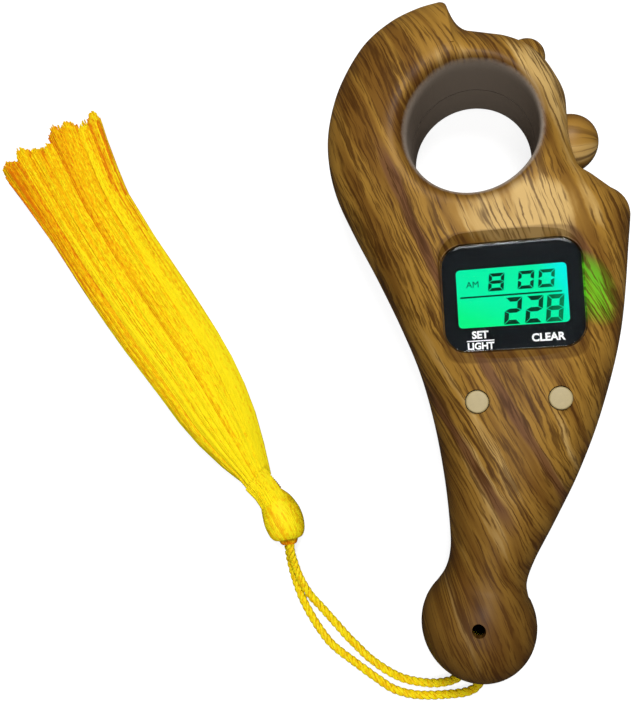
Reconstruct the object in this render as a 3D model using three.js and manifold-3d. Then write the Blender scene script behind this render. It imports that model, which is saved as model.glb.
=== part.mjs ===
// Hand tally counter: a wood-patterned two-piece housing with a finger ring, a lit
// display, three push buttons, and a doubled cord with a tassel.
// Millimetres, +X right, +Y towards the finger ring, +Z out of the display face.
// The counter lies on its flat back at z = 0, and the origin is under the housing's middle.
import * as THREE from 'three';
import { mergeVertices } from 'three/addons/utils/BufferGeometryUtils.js';
import Module from 'manifold-3d';

const wasm = await Module();
wasm.setup();

// Housing, driving sizes
const bodyLength = 123;
const bodyWidth = 52.4;
const bodyThickness = 24.5;
const partingShare = 0.43;
const backOverdepthShare = 1.1;
const crownEndShare = 0.35;
const crownOpenShare = 0.4;
const insetLimitShare = 0.8;
const neckSoftness = 1.2;
const wall = 1.8;
const endBallRadius = 10.1;
const ringHoleRadius = 11.1;
const ringTubeWall = 1.5;
const ringCollarWall = 2.6;
const ringCollarDepth = 6.5;
const ringRimRound = 4.2;
const ringRimNarrowRound = 1.6;
const ringRimTurn = 155;
const backRimRound = 1.2;

// Clearances
const fitGap = 0.3;
const slideGap = 0.3;
const cutOverrun = 2;

// Places on the housing, from shares of its width and length
const ringHoleShares = [0.0076, 0.2789];
const windowShares = [0.0985, 0.0437];
const endBallShare = -0.0706;
const caseScrewShares = [[-0.305, 0.33], [0.355, 0.151], [-0.229, 0.0927], [0.0496, -0.239]];
const atShares = ([across, along]) => [across * bodyWidth, along * bodyLength];
const [ringHoleX, ringHoleY] = atShares(ringHoleShares);
const [windowX, windowY] = atShares(windowShares);
const endBallX = endBallShare * bodyWidth;
const caseScrewPlaces = caseScrewShares.map(atShares);
const nubShares = [0.199, 0.406];
const nubRadius = 3.4;

// Display
const windowWidth = 22.3;
const windowHeight = 17.6;
const windowCorner = 3.6;
const windowThickness = 1.5;
const windowFaceHeight = 23.2;
const recessMargin = 2.2;
const recessSideMargin = 0.9;
const recessRise = 1.5;
const maskThickness = 0.2;
const lcdViewWidth = 17.8;
const lcdViewHeight = 9.8;
const lcdViewCorner = 0.7;
const lcdWidth = 20.6;
const lcdHeight = 13.4;
const lcdThickness = 1.1;
const ledgeThickness = 1.5;
const ledgeOpeningMargin = 0.5;
const displayFrameMargin = 2.2;
const backlightWidth = 17.6;
const backlightHeight = 10;
const backlightThickness = 1.5;
const zebraWidth = 19;
const zebraDepth = 1.2;
const zebraInset = 0.1;
const ledLength = 2;
const ledWidth = 1.1;
const ledThickness = 1.2;
const ledGap = 0.3;

// Main board
const boardThickness = 1;
const boardHeadMargin = 3.8;
const boardFootMargin = 4.8;
const boardShoulderShare = 0.36;
const boardFootSideShares = [-0.082, 0.2615];
const boardHeadSideShares = [-0.149, 0.328];
const chipRadius = 3.6;
const chipHeight = 1.2;
const chipEdgeShare = 0.8;
const chipOffset = 3.3;
const chipDrop = 6.7;
const crystalRadius = 1;
const crystalLength = 6;
const crystalSpacing = 8.5;
const boardScrewUpperGap = 0.7;
const boardScrewLowerGap = 3;
const boardScrewUpperOverlap = 1.2;
const boardScrewLowerOverlap = 3.8;

// Face buttons and the switches under them
const faceButtonRadius = 2;
const faceButtonDrop = 8.4;
const faceButtonSpacing = 13.2;
const faceButtonShift = -0.05;
const faceButtonTop = 23.2;
const faceButtonEdge = 0.35;
const faceButtonFlangeRadius = 3;
const faceButtonFlange = 0.7;
const faceButtonSeatWall = 0.8;
const faceButtonTravel = 0.5;
const faceSwitchSide = 4.4;
const faceSwitchHeight = 1.8;
const faceSwitchBore = 1.4;
const plungerRadius = 1;
const plungerProud = 0.7;
const plungerReserve = 0.1;

// Count button on the ring's side, pushed towards the finger hole
const countTurn = -3.8;
const countBallRadius = 5.2;
const countBallRise = 2.3;
const countTravel = 0.6;
const countCapWall = 0.9;
const countFlangeRadius = 6.3;
const countFlangeThickness = 0.8;
const countSeatRadius = 7.6;
const countSeatWall = 1.35;
const countPadWall = 1.7;
const countPadSide = 5.2;
const countBoardWidth = 5.2;
const countBoardBelow = 8.4;
const countBoardAbove = 2.8;
const countBoardThickness = 0.7;
const countSwitchHeight = 1.6;
const countSwitchBore = 1.3;
const countStemRadius = 1.3;
const leadWidth = 2.4;
const leadThickness = 0.9;
const leadGap = 0.4;
const leadShift = 5.4;
const leadSteps = 10;

// Coin cell, its tray in the back and the door over it
const cellRadius = 10;
const cellHeight = 3.2;
const cellGap = 0.5;
const cellEdge = 0.4;
const trayShift = -0.25;
const trayDrop = 4.5;
const trayWidth = 27;
const trayLength = 30;
const trayCeiling = 1.6;
const doorWidth = 23.4;
const doorLength = 26.4;
const doorCorner = 2;
const doorThickness = 1.5;
const doorInset = 0.3;
const doorScrewInset = 2.4;
const doorTongueWidth = 8;
const doorTongueLength = 1.4;
const doorTongueThickness = 0.7;
const contactThickness = 0.3;
const contactWidth = 4;
const contactSpring = 0.5;
const contactLeafLength = 9;
const contactDimpleRadius = 1.6;

// Screws
const caseScrewHeadRadius = 2;
const caseScrewHeadHeight = 1.3;
const caseScrewShankRadius = 1;
const caseScrewSeat = 3.4;
const caseScrewLength = 12.6;
const screwShoulderShare = 0.33;
const caseBossRadius = 2.7;
const casePostRadius = 3.1;
const smallScrewHeadRadius = 1.5;
const smallScrewHeadHeight = 0.7;
const smallScrewShankRadius = 0.7;
const smallScrewLength = 3.6;
const smallPostRadius = 1.7;

// Cord, its way out of the end ball, and the tassel
const cordRadius = 0.85;
const cordSides = 8;
const cordSteps = 34;
const cordHoleRadius = 2.3;
const cordHoleDrop = -35;
const cordHoleTurn = -100;
const knotRadius = 2.9;
const knotLength = 4.2;
const knotSteps = 7;
const frontHoleRadius = 1.15;
const frontHoleShift = 0.2;
const frontHoleRise = 1.6;
const cordRoutes = {
  cord_strand_a: [
    [-3.95, -58.7, 5.5], [-3.9, -60.2, 4.3], [-3.9, -62.8, 2.7], [-4.4, -65.4, 1.5], [-6.6, -67.3, 1],
    [-11.5, -68.1, 1], [-16.6, -68.3, 1], [-20.8, -67.4, 1], [-24.1, -65.4, 1], [-28.1, -62.6, 1],
    [-32.5, -59.3, 1], [-35, -56.2, 1], [-36.9, -53.1, 1], [-38.4, -50, 1], [-39.6, -46.4, 1],
    [-40.3, -42.8, 1.4], [-40.4, -40.2, 2.2], [-40.2, -38.6, 2.9],
  ],
  cord_strand_b: [
    [-5.9, -58.35, 5.5], [-6.15, -59.8, 4.5], [-6.7, -62, 3], [-7.9, -64.1, 1.7], [-10.2, -65.5, 1.05],
    [-13.8, -66, 1], [-18.4, -65.4, 1], [-21.9, -63.9, 1], [-25.4, -61.5, 1], [-27.7, -59.3, 1],
    [-29.6, -57.4, 1], [-31.8, -54.9, 1], [-34.2, -52.1, 1.2], [-36.5, -49.2, 1.9], [-38.1, -46, 2.6],
    [-39.1, -42.6, 3.3], [-39.4, -40.2, 4.3], [-39.3, -38.4, 4.9],
  ],
};
const headTurn = 117.5;
const headX = -39.9;
const headY = -37.6;
const headRadius = 3.95;
const headTipRadius = 2.7;
const headLength = 9.2;
const headShoulderShare = 0.95;
const headShares = [[0.93, 0.16], [1, 0.36], [0.97, 0.55], [0.84, 0.78]];
const neckRadius = 2.5;
const neckLength = 4;
const skirtTurn = 120.1;
const skirtLength = 90.5;
const skirtHalfWidth = 12.9;
const skirtHalfDepth = 3.9;
const skirtOffset = 2.4;
const skirtFlutes = 12;
const skirtFluteShare = 0.045;
const skirtSlantShare = 0.055;
const skirtRaggedShare = 0.02;
const skirtRaggedWaves = 5;
const skirtRaggedBeats = 3;

// Heights that follow from the sizes above
const partingHeight = bodyThickness * partingShare;
const frontDepth = bodyThickness - partingHeight;
const backDepth = partingHeight * backOverdepthShare;
const endBallY = endBallRadius - bodyLength / 2;
const maskTop = windowFaceHeight - windowThickness;
const ledgeTop = maskTop - maskThickness;
const lcdTop = ledgeTop - ledgeThickness;
const lcdFoot = lcdTop - lcdThickness;
const boardTop = lcdFoot - backlightThickness;
const boardUnder = boardTop - boardThickness;
const plungerTop = boardTop + faceSwitchHeight + plungerProud;
const faceSeatHeight = plungerTop + faceButtonFlange;
const countPadReach = ringHoleRadius + countPadWall;
const countBoardTop = countPadReach + countBoardThickness;
const countPlungerTop = countBoardTop + countSwitchHeight + plungerProud;
const countFlangeReach = countBoardTop + countTravel + slideGap;
const countSeatReach = countFlangeReach + countFlangeThickness;
const countBallReach = countFlangeReach + countBallRise;
const ledX = windowX + (backlightWidth + ledWidth) / 2 + ledGap;
const doorScrewSeat = doorInset + smallScrewHeadHeight;
const cellFoot = doorInset + doorThickness;
const cellTop = cellFoot + cellHeight;
const trayInside = cellTop + contactSpring + contactThickness;
const trayTop = trayInside + trayCeiling;
const bodyAbove = bodyThickness + cutOverrun;

// Places that follow from the display's
const faceButtonMiddleX = windowX + faceButtonShift;
const faceButtonY = windowY - windowHeight / 2 - faceButtonDrop;
const trayX = windowX + trayShift;
const trayY = windowY - trayDrop;
const chipX = windowX + chipOffset;
const chipY = windowY - lcdHeight / 2 - chipDrop;
const crystalX = chipX - crystalSpacing;
const boardHeadY = windowY + lcdHeight / 2 + boardHeadMargin;
const boardFootY = faceButtonY - boardFootMargin;
const boardScrewReach = lcdWidth / 2 + smallPostRadius;
const boardScrewPlaces = [
  [
    windowX - boardScrewReach + boardScrewUpperOverlap,
    windowY + lcdHeight / 2 + smallPostRadius + boardScrewUpperGap,
  ],
  [
    windowX + boardScrewReach - boardScrewLowerOverlap,
    windowY - lcdHeight / 2 - smallPostRadius - boardScrewLowerGap,
  ],
];

const degree = Math.PI / 180;
const roundSteps = 28;
const smallSteps = 12;
const cornerSteps = 5;
const rimSteps = 4;
const nubSteps = 16;
const knobInsideSteps = 4;
const knobOutsideSteps = 7;

// Solid helpers
const vec2 = (x, y) => new THREE.Vector2(x, y);
const vec3 = (x, y, z) => new THREE.Vector3(x, y, z);

function solid(geometry) {
  const bare = geometry.index ? geometry.toNonIndexed() : geometry.clone();
  bare.deleteAttribute('normal');
  bare.deleteAttribute('uv');
  const merged = mergeVertices(bare);
  return new wasm.Manifold(new wasm.Mesh({
    numProp: 3,
    vertProperties: new Float32Array(merged.attributes.position.array),
    triVerts: new Uint32Array(merged.index.array),
  }));
}

function geometryOf(manifold) {
  const mesh = manifold.getMesh();
  const geometry = new THREE.BufferGeometry();
  geometry.setAttribute('position', new THREE.BufferAttribute(new Float32Array(mesh.vertProperties), 3));
  geometry.setIndex(new THREE.BufferAttribute(new Uint32Array(mesh.triVerts), 1));
  geometry.computeVertexNormals();
  return geometry;
}

function box(sizeX, sizeY, sizeZ, x, y, footZ) {
  return new THREE.BoxGeometry(sizeX, sizeY, sizeZ).translate(x, y, footZ + sizeZ / 2);
}

function post(radius, footZ, topZ, x = 0, y = 0, steps = smallSteps) {
  const geometry = new THREE.CylinderGeometry(radius, radius, topZ - footZ, steps);
  return geometry.rotateX(Math.PI / 2).translate(x, y, (footZ + topZ) / 2);
}

function roundedRectangle(width, height, corner) {
  const shape = new THREE.Shape();
  const right = width / 2 - corner;
  const top = height / 2 - corner;
  shape.absarc(right, top, corner, 0, Math.PI / 2);
  shape.absarc(-right, top, corner, Math.PI / 2, Math.PI);
  shape.absarc(-right, -top, corner, Math.PI, Math.PI * 1.5);
  shape.absarc(right, -top, corner, Math.PI * 1.5, Math.PI * 2);
  return shape;
}

function plate(shape, thickness, x, y, footZ) {
  const options = { depth: thickness, bevelEnabled: false, curveSegments: cornerSteps };
  return new THREE.ExtrudeGeometry(shape, options).translate(x, y, footZ);
}

// Revolves [radius, height] points round +Z.
function turned(profile, steps = smallSteps) {
  const points = profile.map(([radius, height]) => vec2(radius, height));
  return new THREE.LatheGeometry(points, steps).rotateX(Math.PI / 2);
}

// Triangles over a ring, as a flat sheet.
const sheetFill = (ring) => THREE.ShapeUtils.triangulateShape(ring, []);

// Triangles over a long ring, as a strip that climbs both its sides from its lowest y to its highest.
function stripFill(ring) {
  const count = ring.length;
  const byHeight = ring.map((_, i) => i).sort((a, b) => ring[a].y - ring[b].y);
  const end = byHeight.at(-1);
  const triangles = [];
  let right = byHeight[0];
  let left = right;
  while (right !== end || left !== end) {
    const nextRight = (right + 1) % count;
    const nextLeft = (left + count - 1) % count;
    const takeRight = left === end || (right !== end && ring[nextRight].y <= ring[nextLeft].y);
    if (left !== (takeRight ? nextRight : right)) {
      triangles.push(takeRight ? [left, right, nextRight] : [left, right, nextLeft]);
    }
    [left, right] = takeRight ? [left, nextRight] : [nextLeft, right];
  }
  return triangles.filter((corners) => new Set(corners).size === 3);
}

// A closed skin over rings of equally many points, with its end rings filled.
function loft(rings, fillOf = sheetFill) {
  const count = rings[0].length;
  const index = [];
  for (let level = 0; level < rings.length - 1; level++) {
    for (let i = 0; i < count; i++) {
      const low = level * count + i;
      const lowNext = level * count + (i + 1) % count;
      index.push(low, lowNext, lowNext + count, low, lowNext + count, low + count);
    }
  }
  const fill = (ring, base, turnOver) => {
    for (const [a, b, c] of fillOf(ring)) {
      index.push(base + a, base + (turnOver ? c : b), base + (turnOver ? b : c));
    }
  };
  fill(rings[0], 0, true);
  fill(rings.at(-1), (rings.length - 1) * count, false);
  const positions = rings.flat().flatMap((point) => [point.x, point.y, point.z]);
  const geometry = new THREE.BufferGeometry();
  geometry.setAttribute('position', new THREE.Float32BufferAttribute(positions, 3));
  geometry.setIndex(index);
  return geometry;
}

const cut = (base, ...tools) => tools.reduce((left, tool) => left.subtract(tool), base);
const join = (...pieces) => pieces.reduce((sum, piece) => sum.add(piece));

// The housing's widest outline, counter-clockwise from the neck's right side.
// Points are shares of the width and length, from the middle. Beside the finger hole they
// follow the side that the count button comes out of.
const place = (shares) => vec2(...atShares(shares));
const flowing = (shares) => new THREE.SplineCurve(shares.map(place));
const bend = (start, pull, end) => new THREE.QuadraticBezierCurve(place(start), place(pull), place(end));
const sweep = (start, pull, pullEnd, end) =>
  new THREE.CubicBezierCurve(place(start), place(pull), place(pullEnd), place(end));

const ringSideShare = (ringHoleX + countSeatReach + countSeatWall) / bodyWidth;
const shelfFootShare = ringSideShare * 1.088;
const neckRightShares = [0.1005, -0.382];
const shelfEndShares = [0.499, 0.152];
const shelfTopShares = [0.452, 0.186];
const shelfMiddleShare = THREE.MathUtils.lerp(shelfFootShare, shelfTopShares[0], 0.464);
const hornFootShares = [0.017, 0.4445];
const hornTipShares = [-0.053, 0.4915];
const hornBackShares = [-0.079, 0.4995];
const neckLeftShares = [-0.2115, -0.3625];
const rightSideShares = [
  neckRightShares, [0.0975, -0.358], [0.131, -0.323], [0.203, -0.269], [0.289, -0.2], [0.371, -0.115],
  [0.445, -0.006], [0.489, 0.12], shelfEndShares,
];
const shelfShares = [
  shelfTopShares, [shelfMiddleShare, 0.206], [shelfFootShare, 0.223], [ringSideShare * 1.017, 0.256],
  [ringSideShare, 0.3], [ringSideShare * 0.992, 0.333], [ringSideShare * 0.917, 0.362],
  [ringSideShare * 0.8, 0.391], [ringSideShare * 0.645, 0.413], [ringSideShare * 0.47, 0.427],
  [ringSideShare * 0.29, 0.435], hornFootShares,
];
const leftSideShares = [
  hornBackShares, [-0.16, 0.4945], [-0.26, 0.479], [-0.36, 0.447], [-0.445, 0.391], [-0.4905, 0.3325],
  [-0.5, 0.28], [-0.478, 0.223], [-0.425, 0.164], [-0.345, 0.089], [-0.27, 0.012], [-0.215, -0.056],
  [-0.178, -0.13], [-0.155, -0.21], [-0.147, -0.28], [-0.152, -0.315], [-0.173, -0.341], neckLeftShares,
];
const neckLeft = place(neckLeftShares);
const neckRight = place(neckRightShares);
const ballStart = Math.atan2(neckLeft.y - endBallY, neckLeft.x - endBallX);
const ballEnd = Math.atan2(neckRight.y - endBallY, neckRight.x - endBallX) + Math.PI * 2;
const outlineRuns = [
  [flowing(rightSideShares), 15],
  [bend(shelfEndShares, [0.499, 0.176], shelfTopShares), 4],
  [flowing(shelfShares), 21],
  [sweep(hornFootShares, [-0.02, 0.451], [-0.037, 0.468], hornTipShares), 5],
  [bend(hornTipShares, [-0.058, 0.4985], hornBackShares), 2],
  [flowing(leftSideShares), 24],
  [new THREE.EllipseCurve(endBallX, endBallY, endBallRadius, endBallRadius, ballStart, ballEnd), 22],
];
const outline = outlineRuns.flatMap(([curve, steps]) => curve.getSpacedPoints(steps).slice(0, -1));

// The line along the housing that its crown rises to, and how deep and full it is there.
// Each row: share along, share across, front depth, back depth, front fullness, back fullness.
const spineShares = [
  [-0.418, -0.071, 0.5, 0.6, 2, 2],
  [-0.36, -0.038, 0.52, 0.62, 2, 2],
  [-0.3, 0.015, 0.63, 0.68, 2.05, 2.1],
  [-0.22, 0.058, 0.76, 0.78, 2.15, 2.4],
  [-0.13, 0.09, 0.9, 0.9, 2.4, 3],
  [-0.04, 0.1, 0.975, 0.98, 2.7, 3.7],
  [0.05, 0.09, 1, 1, 2.8, 4],
  [0.14, 0.055, 1, 1, 2.8, 4],
  [0.28, 0.008, 1, 1, 2.8, 4],
  [0.36, -0.03, 1, 1, 2, 4],
];

function spineValues(along) {
  const share = THREE.MathUtils.clamp(along / bodyLength, spineShares[0][0], spineShares.at(-1)[0]);
  const last = spineShares.length - 1;
  const low = Math.min(spineShares.findLastIndex((row) => row[0] <= share), last - 1);
  const rows = [low - 1, low, low + 1, low + 2].map((i) => spineShares[THREE.MathUtils.clamp(i, 0, last)]);
  const t = (share - rows[1][0]) / (rows[2][0] - rows[1][0]);
  const slope = (column, a, b) => (b[column] - a[column]) / (b[0] - a[0]) * (rows[2][0] - rows[1][0]);
  return rows[1].map((_, column) => {
    const leave = slope(column, rows[0], rows[2]);
    const reach = slope(column, rows[1], rows[3]);
    const start = rows[1][column];
    const end = rows[2][column];
    const bendIn = 3 * (end - start) - 2 * leave - reach;
    const bendOut = 2 * (start - end) + leave + reach;
    return start + t * (leave + t * (bendIn + t * bendOut));
  });
}

function spineAt(y) {
  const along = THREE.MathUtils.clamp(y, endBallY, spineShares.at(-1)[0] * bodyLength);
  const [, across, front, back, frontPower, backPower] = spineValues(along);
  const ballDepth = Math.sqrt(Math.max(endBallRadius ** 2 - (along - endBallY) ** 2, 0));
  const blend = (depth) => {
    const soft = Math.hypot(ballDepth - depth, neckSoftness);
    return along - endBallY < neckSoftness ? endBallRadius : (ballDepth + depth + soft) / 2;
  };
  return {
    x: across * bodyWidth,
    y: along,
    front: blend(front * frontDepth),
    back: blend(back * backDepth),
    frontPower,
    backPower,
  };
}

// The housing's outer form, or the same form drawn in by an inset.
function housingForm(inset, frontLevels, backLevels) {
  const columns = outline.map((point, i) => {
    const before = outline.at(i - 1);
    const after = outline[(i + 1) % outline.length];
    const spine = spineAt(point.y > ringHoleY ? ringHoleY + (point.y - ringHoleY) * crownEndShare : point.y);
    const inward = vec2(spine.x, spine.y).sub(point);
    const normal = vec2(before.y - after.y, after.x - before.x).normalize();
    const steep = Math.max(normal.dot(inward), inward.length() / 2);
    return { point, inward, spine, share: Math.min(inset / steep, insetLimitShare) };
  });
  const ringAt = (turn, side) => columns.map(({ point, inward, spine, share }) => {
    const power = side > 0 ? spine.frontPower : spine.backPower;
    const depth = (side > 0 ? spine.front : spine.back) - inset;
    const reach = Math.cos(turn) ** (2 / power) * (1 - share);
    const at = point.clone().addScaledVector(inward, 1 - reach);
    return vec3(at.x, at.y, partingHeight + side * depth * Math.sin(turn) ** (2 / power));
  });
  const turns = (levels) =>
    Array.from({ length: levels }, (_, level) => (level + 1) / (levels + crownOpenShare) * Math.PI / 2);
  return loft([
    ...turns(backLevels).toReversed().map((turn) => ringAt(turn, -1)),
    ringAt(0, 1),
    ...turns(frontLevels).map((turn) => ringAt(turn, 1)),
  ], stripFill);
}

// The small round bump moulded at the ring's end
function nub() {
  const [x, y] = atShares(nubShares);
  return solid(new THREE.SphereGeometry(nubRadius, nubSteps, nubSteps / 2).translate(x, y, partingHeight));
}

const outerForm = housingForm(0, 6, 4);
const housingBody = () => join(solid(outerForm), nub());
const outerSkin = new THREE.Mesh(outerForm, new THREE.MeshBasicMaterial({ side: THREE.DoubleSide }));

// Height of the housing's face over a place.
function faceHeight(x, y) {
  const down = new THREE.Raycaster(vec3(x, y, bodyThickness * 2), vec3(0, 0, -1));
  return down.intersectObject(outerSkin)[0].point.z;
}

// The finger hole: straight, with its rim rounded into the face and the back.
function fingerHole() {
  const turns = Array.from({ length: roundSteps }, (_, i) => i / roundSteps * Math.PI * 2);
  const middle = vec2(ringHoleX, ringHoleY);
  const around = (turn) => vec2(Math.cos(turn), Math.sin(turn));
  const columns = turns.map((turn) => {
    const full = (1 + Math.cos(turn - ringRimTurn * degree)) / 2;
    const rim = THREE.MathUtils.lerp(ringRimNarrowRound, ringRimRound, full);
    const edge = middle.clone().addScaledVector(around(turn), ringHoleRadius + rim);
    return { turn, rim, top: faceHeight(edge.x, edge.y) };
  });
  const ring = (radiusOf, heightOf) => columns.map((column) => {
    const at = middle.clone().addScaledVector(around(column.turn), ringHoleRadius + radiusOf(column));
    return vec3(at.x, at.y, heightOf(column));
  });
  const quarter = Array.from({ length: rimSteps + 1 }, (_, step) => step / rimSteps * Math.PI / 2);
  return solid(loft([
    ring(() => backRimRound, () => -cutOverrun),
    ...quarter.toReversed().map((turn) =>
      ring(() => backRimRound * (1 - Math.cos(turn)), () => backRimRound * (1 - Math.sin(turn)))),
    ...quarter.map((turn) => ring(
      ({ rim }) => rim * (1 - Math.cos(turn)),
      ({ rim, top }) => top - rim * (1 - Math.sin(turn)),
    )),
    ring(({ rim }) => rim, () => bodyAbove),
  ]));
}

// Places a piece that was made along +Z on the count button's line of push.
function alongPush(geometry) {
  geometry.rotateY(Math.PI / 2).rotateZ(countTurn * degree);
  return geometry.translate(ringHoleX, ringHoleY, partingHeight);
}

// Places a piece that was made along +Z on the line of the cord hole, from the end ball's middle.
function alongCordHole(geometry) {
  const way = vec3(0, 0, 1).applyAxisAngle(vec3(1, 0, 0), (90 - cordHoleDrop) * degree);
  way.applyAxisAngle(vec3(0, 0, 1), (cordHoleTurn + 90) * degree);
  geometry.applyQuaternion(new THREE.Quaternion().setFromUnitVectors(vec3(0, 0, 1), way));
  return geometry.translate(endBallX, endBallY, partingHeight);
}

const faceButtonPlaces = [-0.5, 0.5].map((side) =>
  [faceButtonMiddleX + side * faceButtonSpacing, faceButtonY]);
const doorScrewPlace = [trayX + doorWidth / 2 - doorScrewInset, trayY - doorLength / 2 + doorScrewInset];

// What stands inside the housing and is moulded with it
const ringPost = (outerWall, footZ) =>
  solid(post(ringHoleRadius + outerWall, footZ, bodyAbove, ringHoleX, ringHoleY, roundSteps));
const ringTube = () =>
  join(ringPost(ringTubeWall, -cutOverrun), ringPost(ringCollarWall, bodyThickness - ringCollarDepth));
const countPad = () => solid(alongPush(
  box(countPadSide, countPadSide, countPadReach - ringHoleRadius, 0, 0, ringHoleRadius)));
const countSeat = () => solid(alongPush(post(countSeatRadius, countSeatReach, bodyWidth)));

function windowPrism(width, height, corner, footZ, topZ) {
  return solid(plate(roundedRectangle(width, height, corner), topZ - footZ, windowX, windowY, footZ));
}

// The sunken field that the window lies in, sloping up to the face above and below it.
function displayRecess() {
  const ringOf = (width, height, corner, z) =>
    roundedRectangle(width, height, corner).extractPoints(cornerSteps).shape.slice(0, -1)
      .map((point) => vec3(point.x + windowX, point.y + windowY, z));
  const low = [windowWidth + fitGap * 2, windowHeight + fitGap * 2, windowCorner];
  const highWidth = windowWidth + recessSideMargin * 2;
  const high = [highWidth, windowHeight + recessMargin * 2, windowCorner + recessSideMargin];
  return solid(loft([
    ringOf(...low, windowFaceHeight),
    ringOf(...high, windowFaceHeight + recessRise),
    ringOf(...high, bodyAbove),
  ]));
}

// Holes and pockets for the count button, in both housing halves
const countCuts = () => [
  solid(alongPush(post(countBallRadius + slideGap, countFlangeReach, bodyWidth, 0, 0, roundSteps))),
  solid(alongPush(post(
    countFlangeRadius + slideGap, countFlangeReach - countTravel - slideGap, countSeatReach, 0, 0, roundSteps,
  ))),
];

function housingCavity(footZ, topZ) {
  const slab = solid(box(bodyWidth * 2, bodyLength * 2, topZ - footZ, 0, 0, footZ));
  return cut(solid(housingForm(wall, 3, 3)).intersect(slab), ringTube(), countPad(), countSeat());
}

function frontShell() {
  const half = solid(box(bodyWidth * 2, bodyLength * 2, bodyThickness, 0, 0, partingHeight));
  const bosses = caseScrewPlaces.map(([x, y]) => solid(post(caseBossRadius, partingHeight, bodyAbove, x, y)));
  const boardPosts = boardScrewPlaces.map(([x, y]) =>
    solid(post(smallPostRadius, boardTop, bodyAbove, x, y)));
  const seatRadius = faceButtonFlangeRadius + slideGap + faceButtonSeatWall;
  const buttonSeats = faceButtonPlaces.map(([x, y]) =>
    solid(post(seatRadius, faceSeatHeight, bodyAbove, x, y, roundSteps)));
  const frame = solid(box(
    windowWidth + displayFrameMargin * 2, windowHeight + displayFrameMargin * 2, bodyThickness,
    windowX, windowY, lcdTop,
  ));
  const cavity = cut(
    housingCavity(partingHeight, bodyAbove), frame, ...bosses, ...boardPosts, ...buttonSeats,
  );
  const pilotTop = caseScrewSeat + caseScrewLength + fitGap;
  const pilots = caseScrewPlaces.map(([x, y]) =>
    solid(post(caseScrewShankRadius + fitGap, partingHeight - cutOverrun, pilotTop, x, y)));
  const boardPilotTop = boardUnder + smallScrewLength + fitGap;
  const boardPilots = boardScrewPlaces.map(([x, y]) =>
    solid(post(smallScrewShankRadius + fitGap, boardTop - cutOverrun, boardPilotTop, x, y)));
  const flangeFoot = plungerTop - faceButtonTravel - slideGap;
  const flangeRadius = faceButtonFlangeRadius + slideGap;
  const buttonHoles = faceButtonPlaces.flatMap(([x, y]) => [
    solid(post(faceButtonRadius + slideGap, boardTop, bodyAbove, x, y, roundSteps)),
    solid(post(flangeRadius, flangeFoot, faceSeatHeight, x, y, roundSteps)),
  ]);
  const margin = ledgeOpeningMargin * 2;
  const gap = fitGap * 2;
  const switchRooms = faceButtonPlaces.map(([x, y]) => solid(box(
    faceSwitchSide + gap, faceSwitchSide + gap, faceSwitchHeight + fitGap + cutOverrun,
    x, y, boardTop - cutOverrun,
  )));
  return cut(
    housingBody().intersect(half), cavity, fingerHole(), displayRecess(),
    windowPrism(windowWidth + gap, windowHeight + gap, windowCorner + fitGap, ledgeTop, bodyAbove),
    windowPrism(lcdViewWidth + margin, lcdViewHeight + margin, lcdViewCorner, lcdTop - cutOverrun, bodyAbove),
    solid(post(
      frontHoleRadius, partingHeight, bodyAbove, endBallX + frontHoleShift, endBallY + frontHoleRise,
    )),
    ...pilots, ...boardPilots, ...buttonHoles, ...switchRooms, ...countCuts(),
  );
}

// The tongue that holds the battery door's upper edge, and its slot when grown by a gap
function doorTongue(gap) {
  const footZ = cellFoot - doorTongueThickness;
  return solid(box(
    doorTongueWidth + gap * 2, doorTongueLength + gap + doorCorner, doorTongueThickness + gap,
    trayX, trayY + (doorLength + doorTongueLength + gap - doorCorner) / 2, footZ - gap,
  ));
}

// The strips that carry the cell's current up to the board
const stripPlaces = { contact_plus: 1, contact_minus: -1 };
const stripX = (side) => trayX + side * (cellRadius + cellGap / 2);

function contactStrip(side, footZ, gap) {
  return solid(box(
    contactThickness + gap * 2, contactWidth + gap * 2, boardUnder - footZ,
    stripX(side), trayY, footZ,
  ));
}

function contactPlus() {
  return contactStrip(stripPlaces.contact_plus, cellFoot + cellEdge, 0);
}

function contactMinus() {
  const leafFoot = trayInside - contactThickness;
  const leafX = stripX(stripPlaces.contact_minus) + (contactLeafLength - contactThickness) / 2;
  const dimpleTop = leafFoot + contactThickness / 2;
  return join(
    contactStrip(stripPlaces.contact_minus, leafFoot, 0),
    solid(box(contactLeafLength, contactWidth, contactThickness, leafX, trayY, leafFoot)),
    solid(turned([
      [0, cellTop], [contactDimpleRadius / 2, cellTop], [contactDimpleRadius, dimpleTop], [0, dimpleTop],
    ]).translate(leafX + contactDimpleRadius, trayY, 0)),
  );
}

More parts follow.
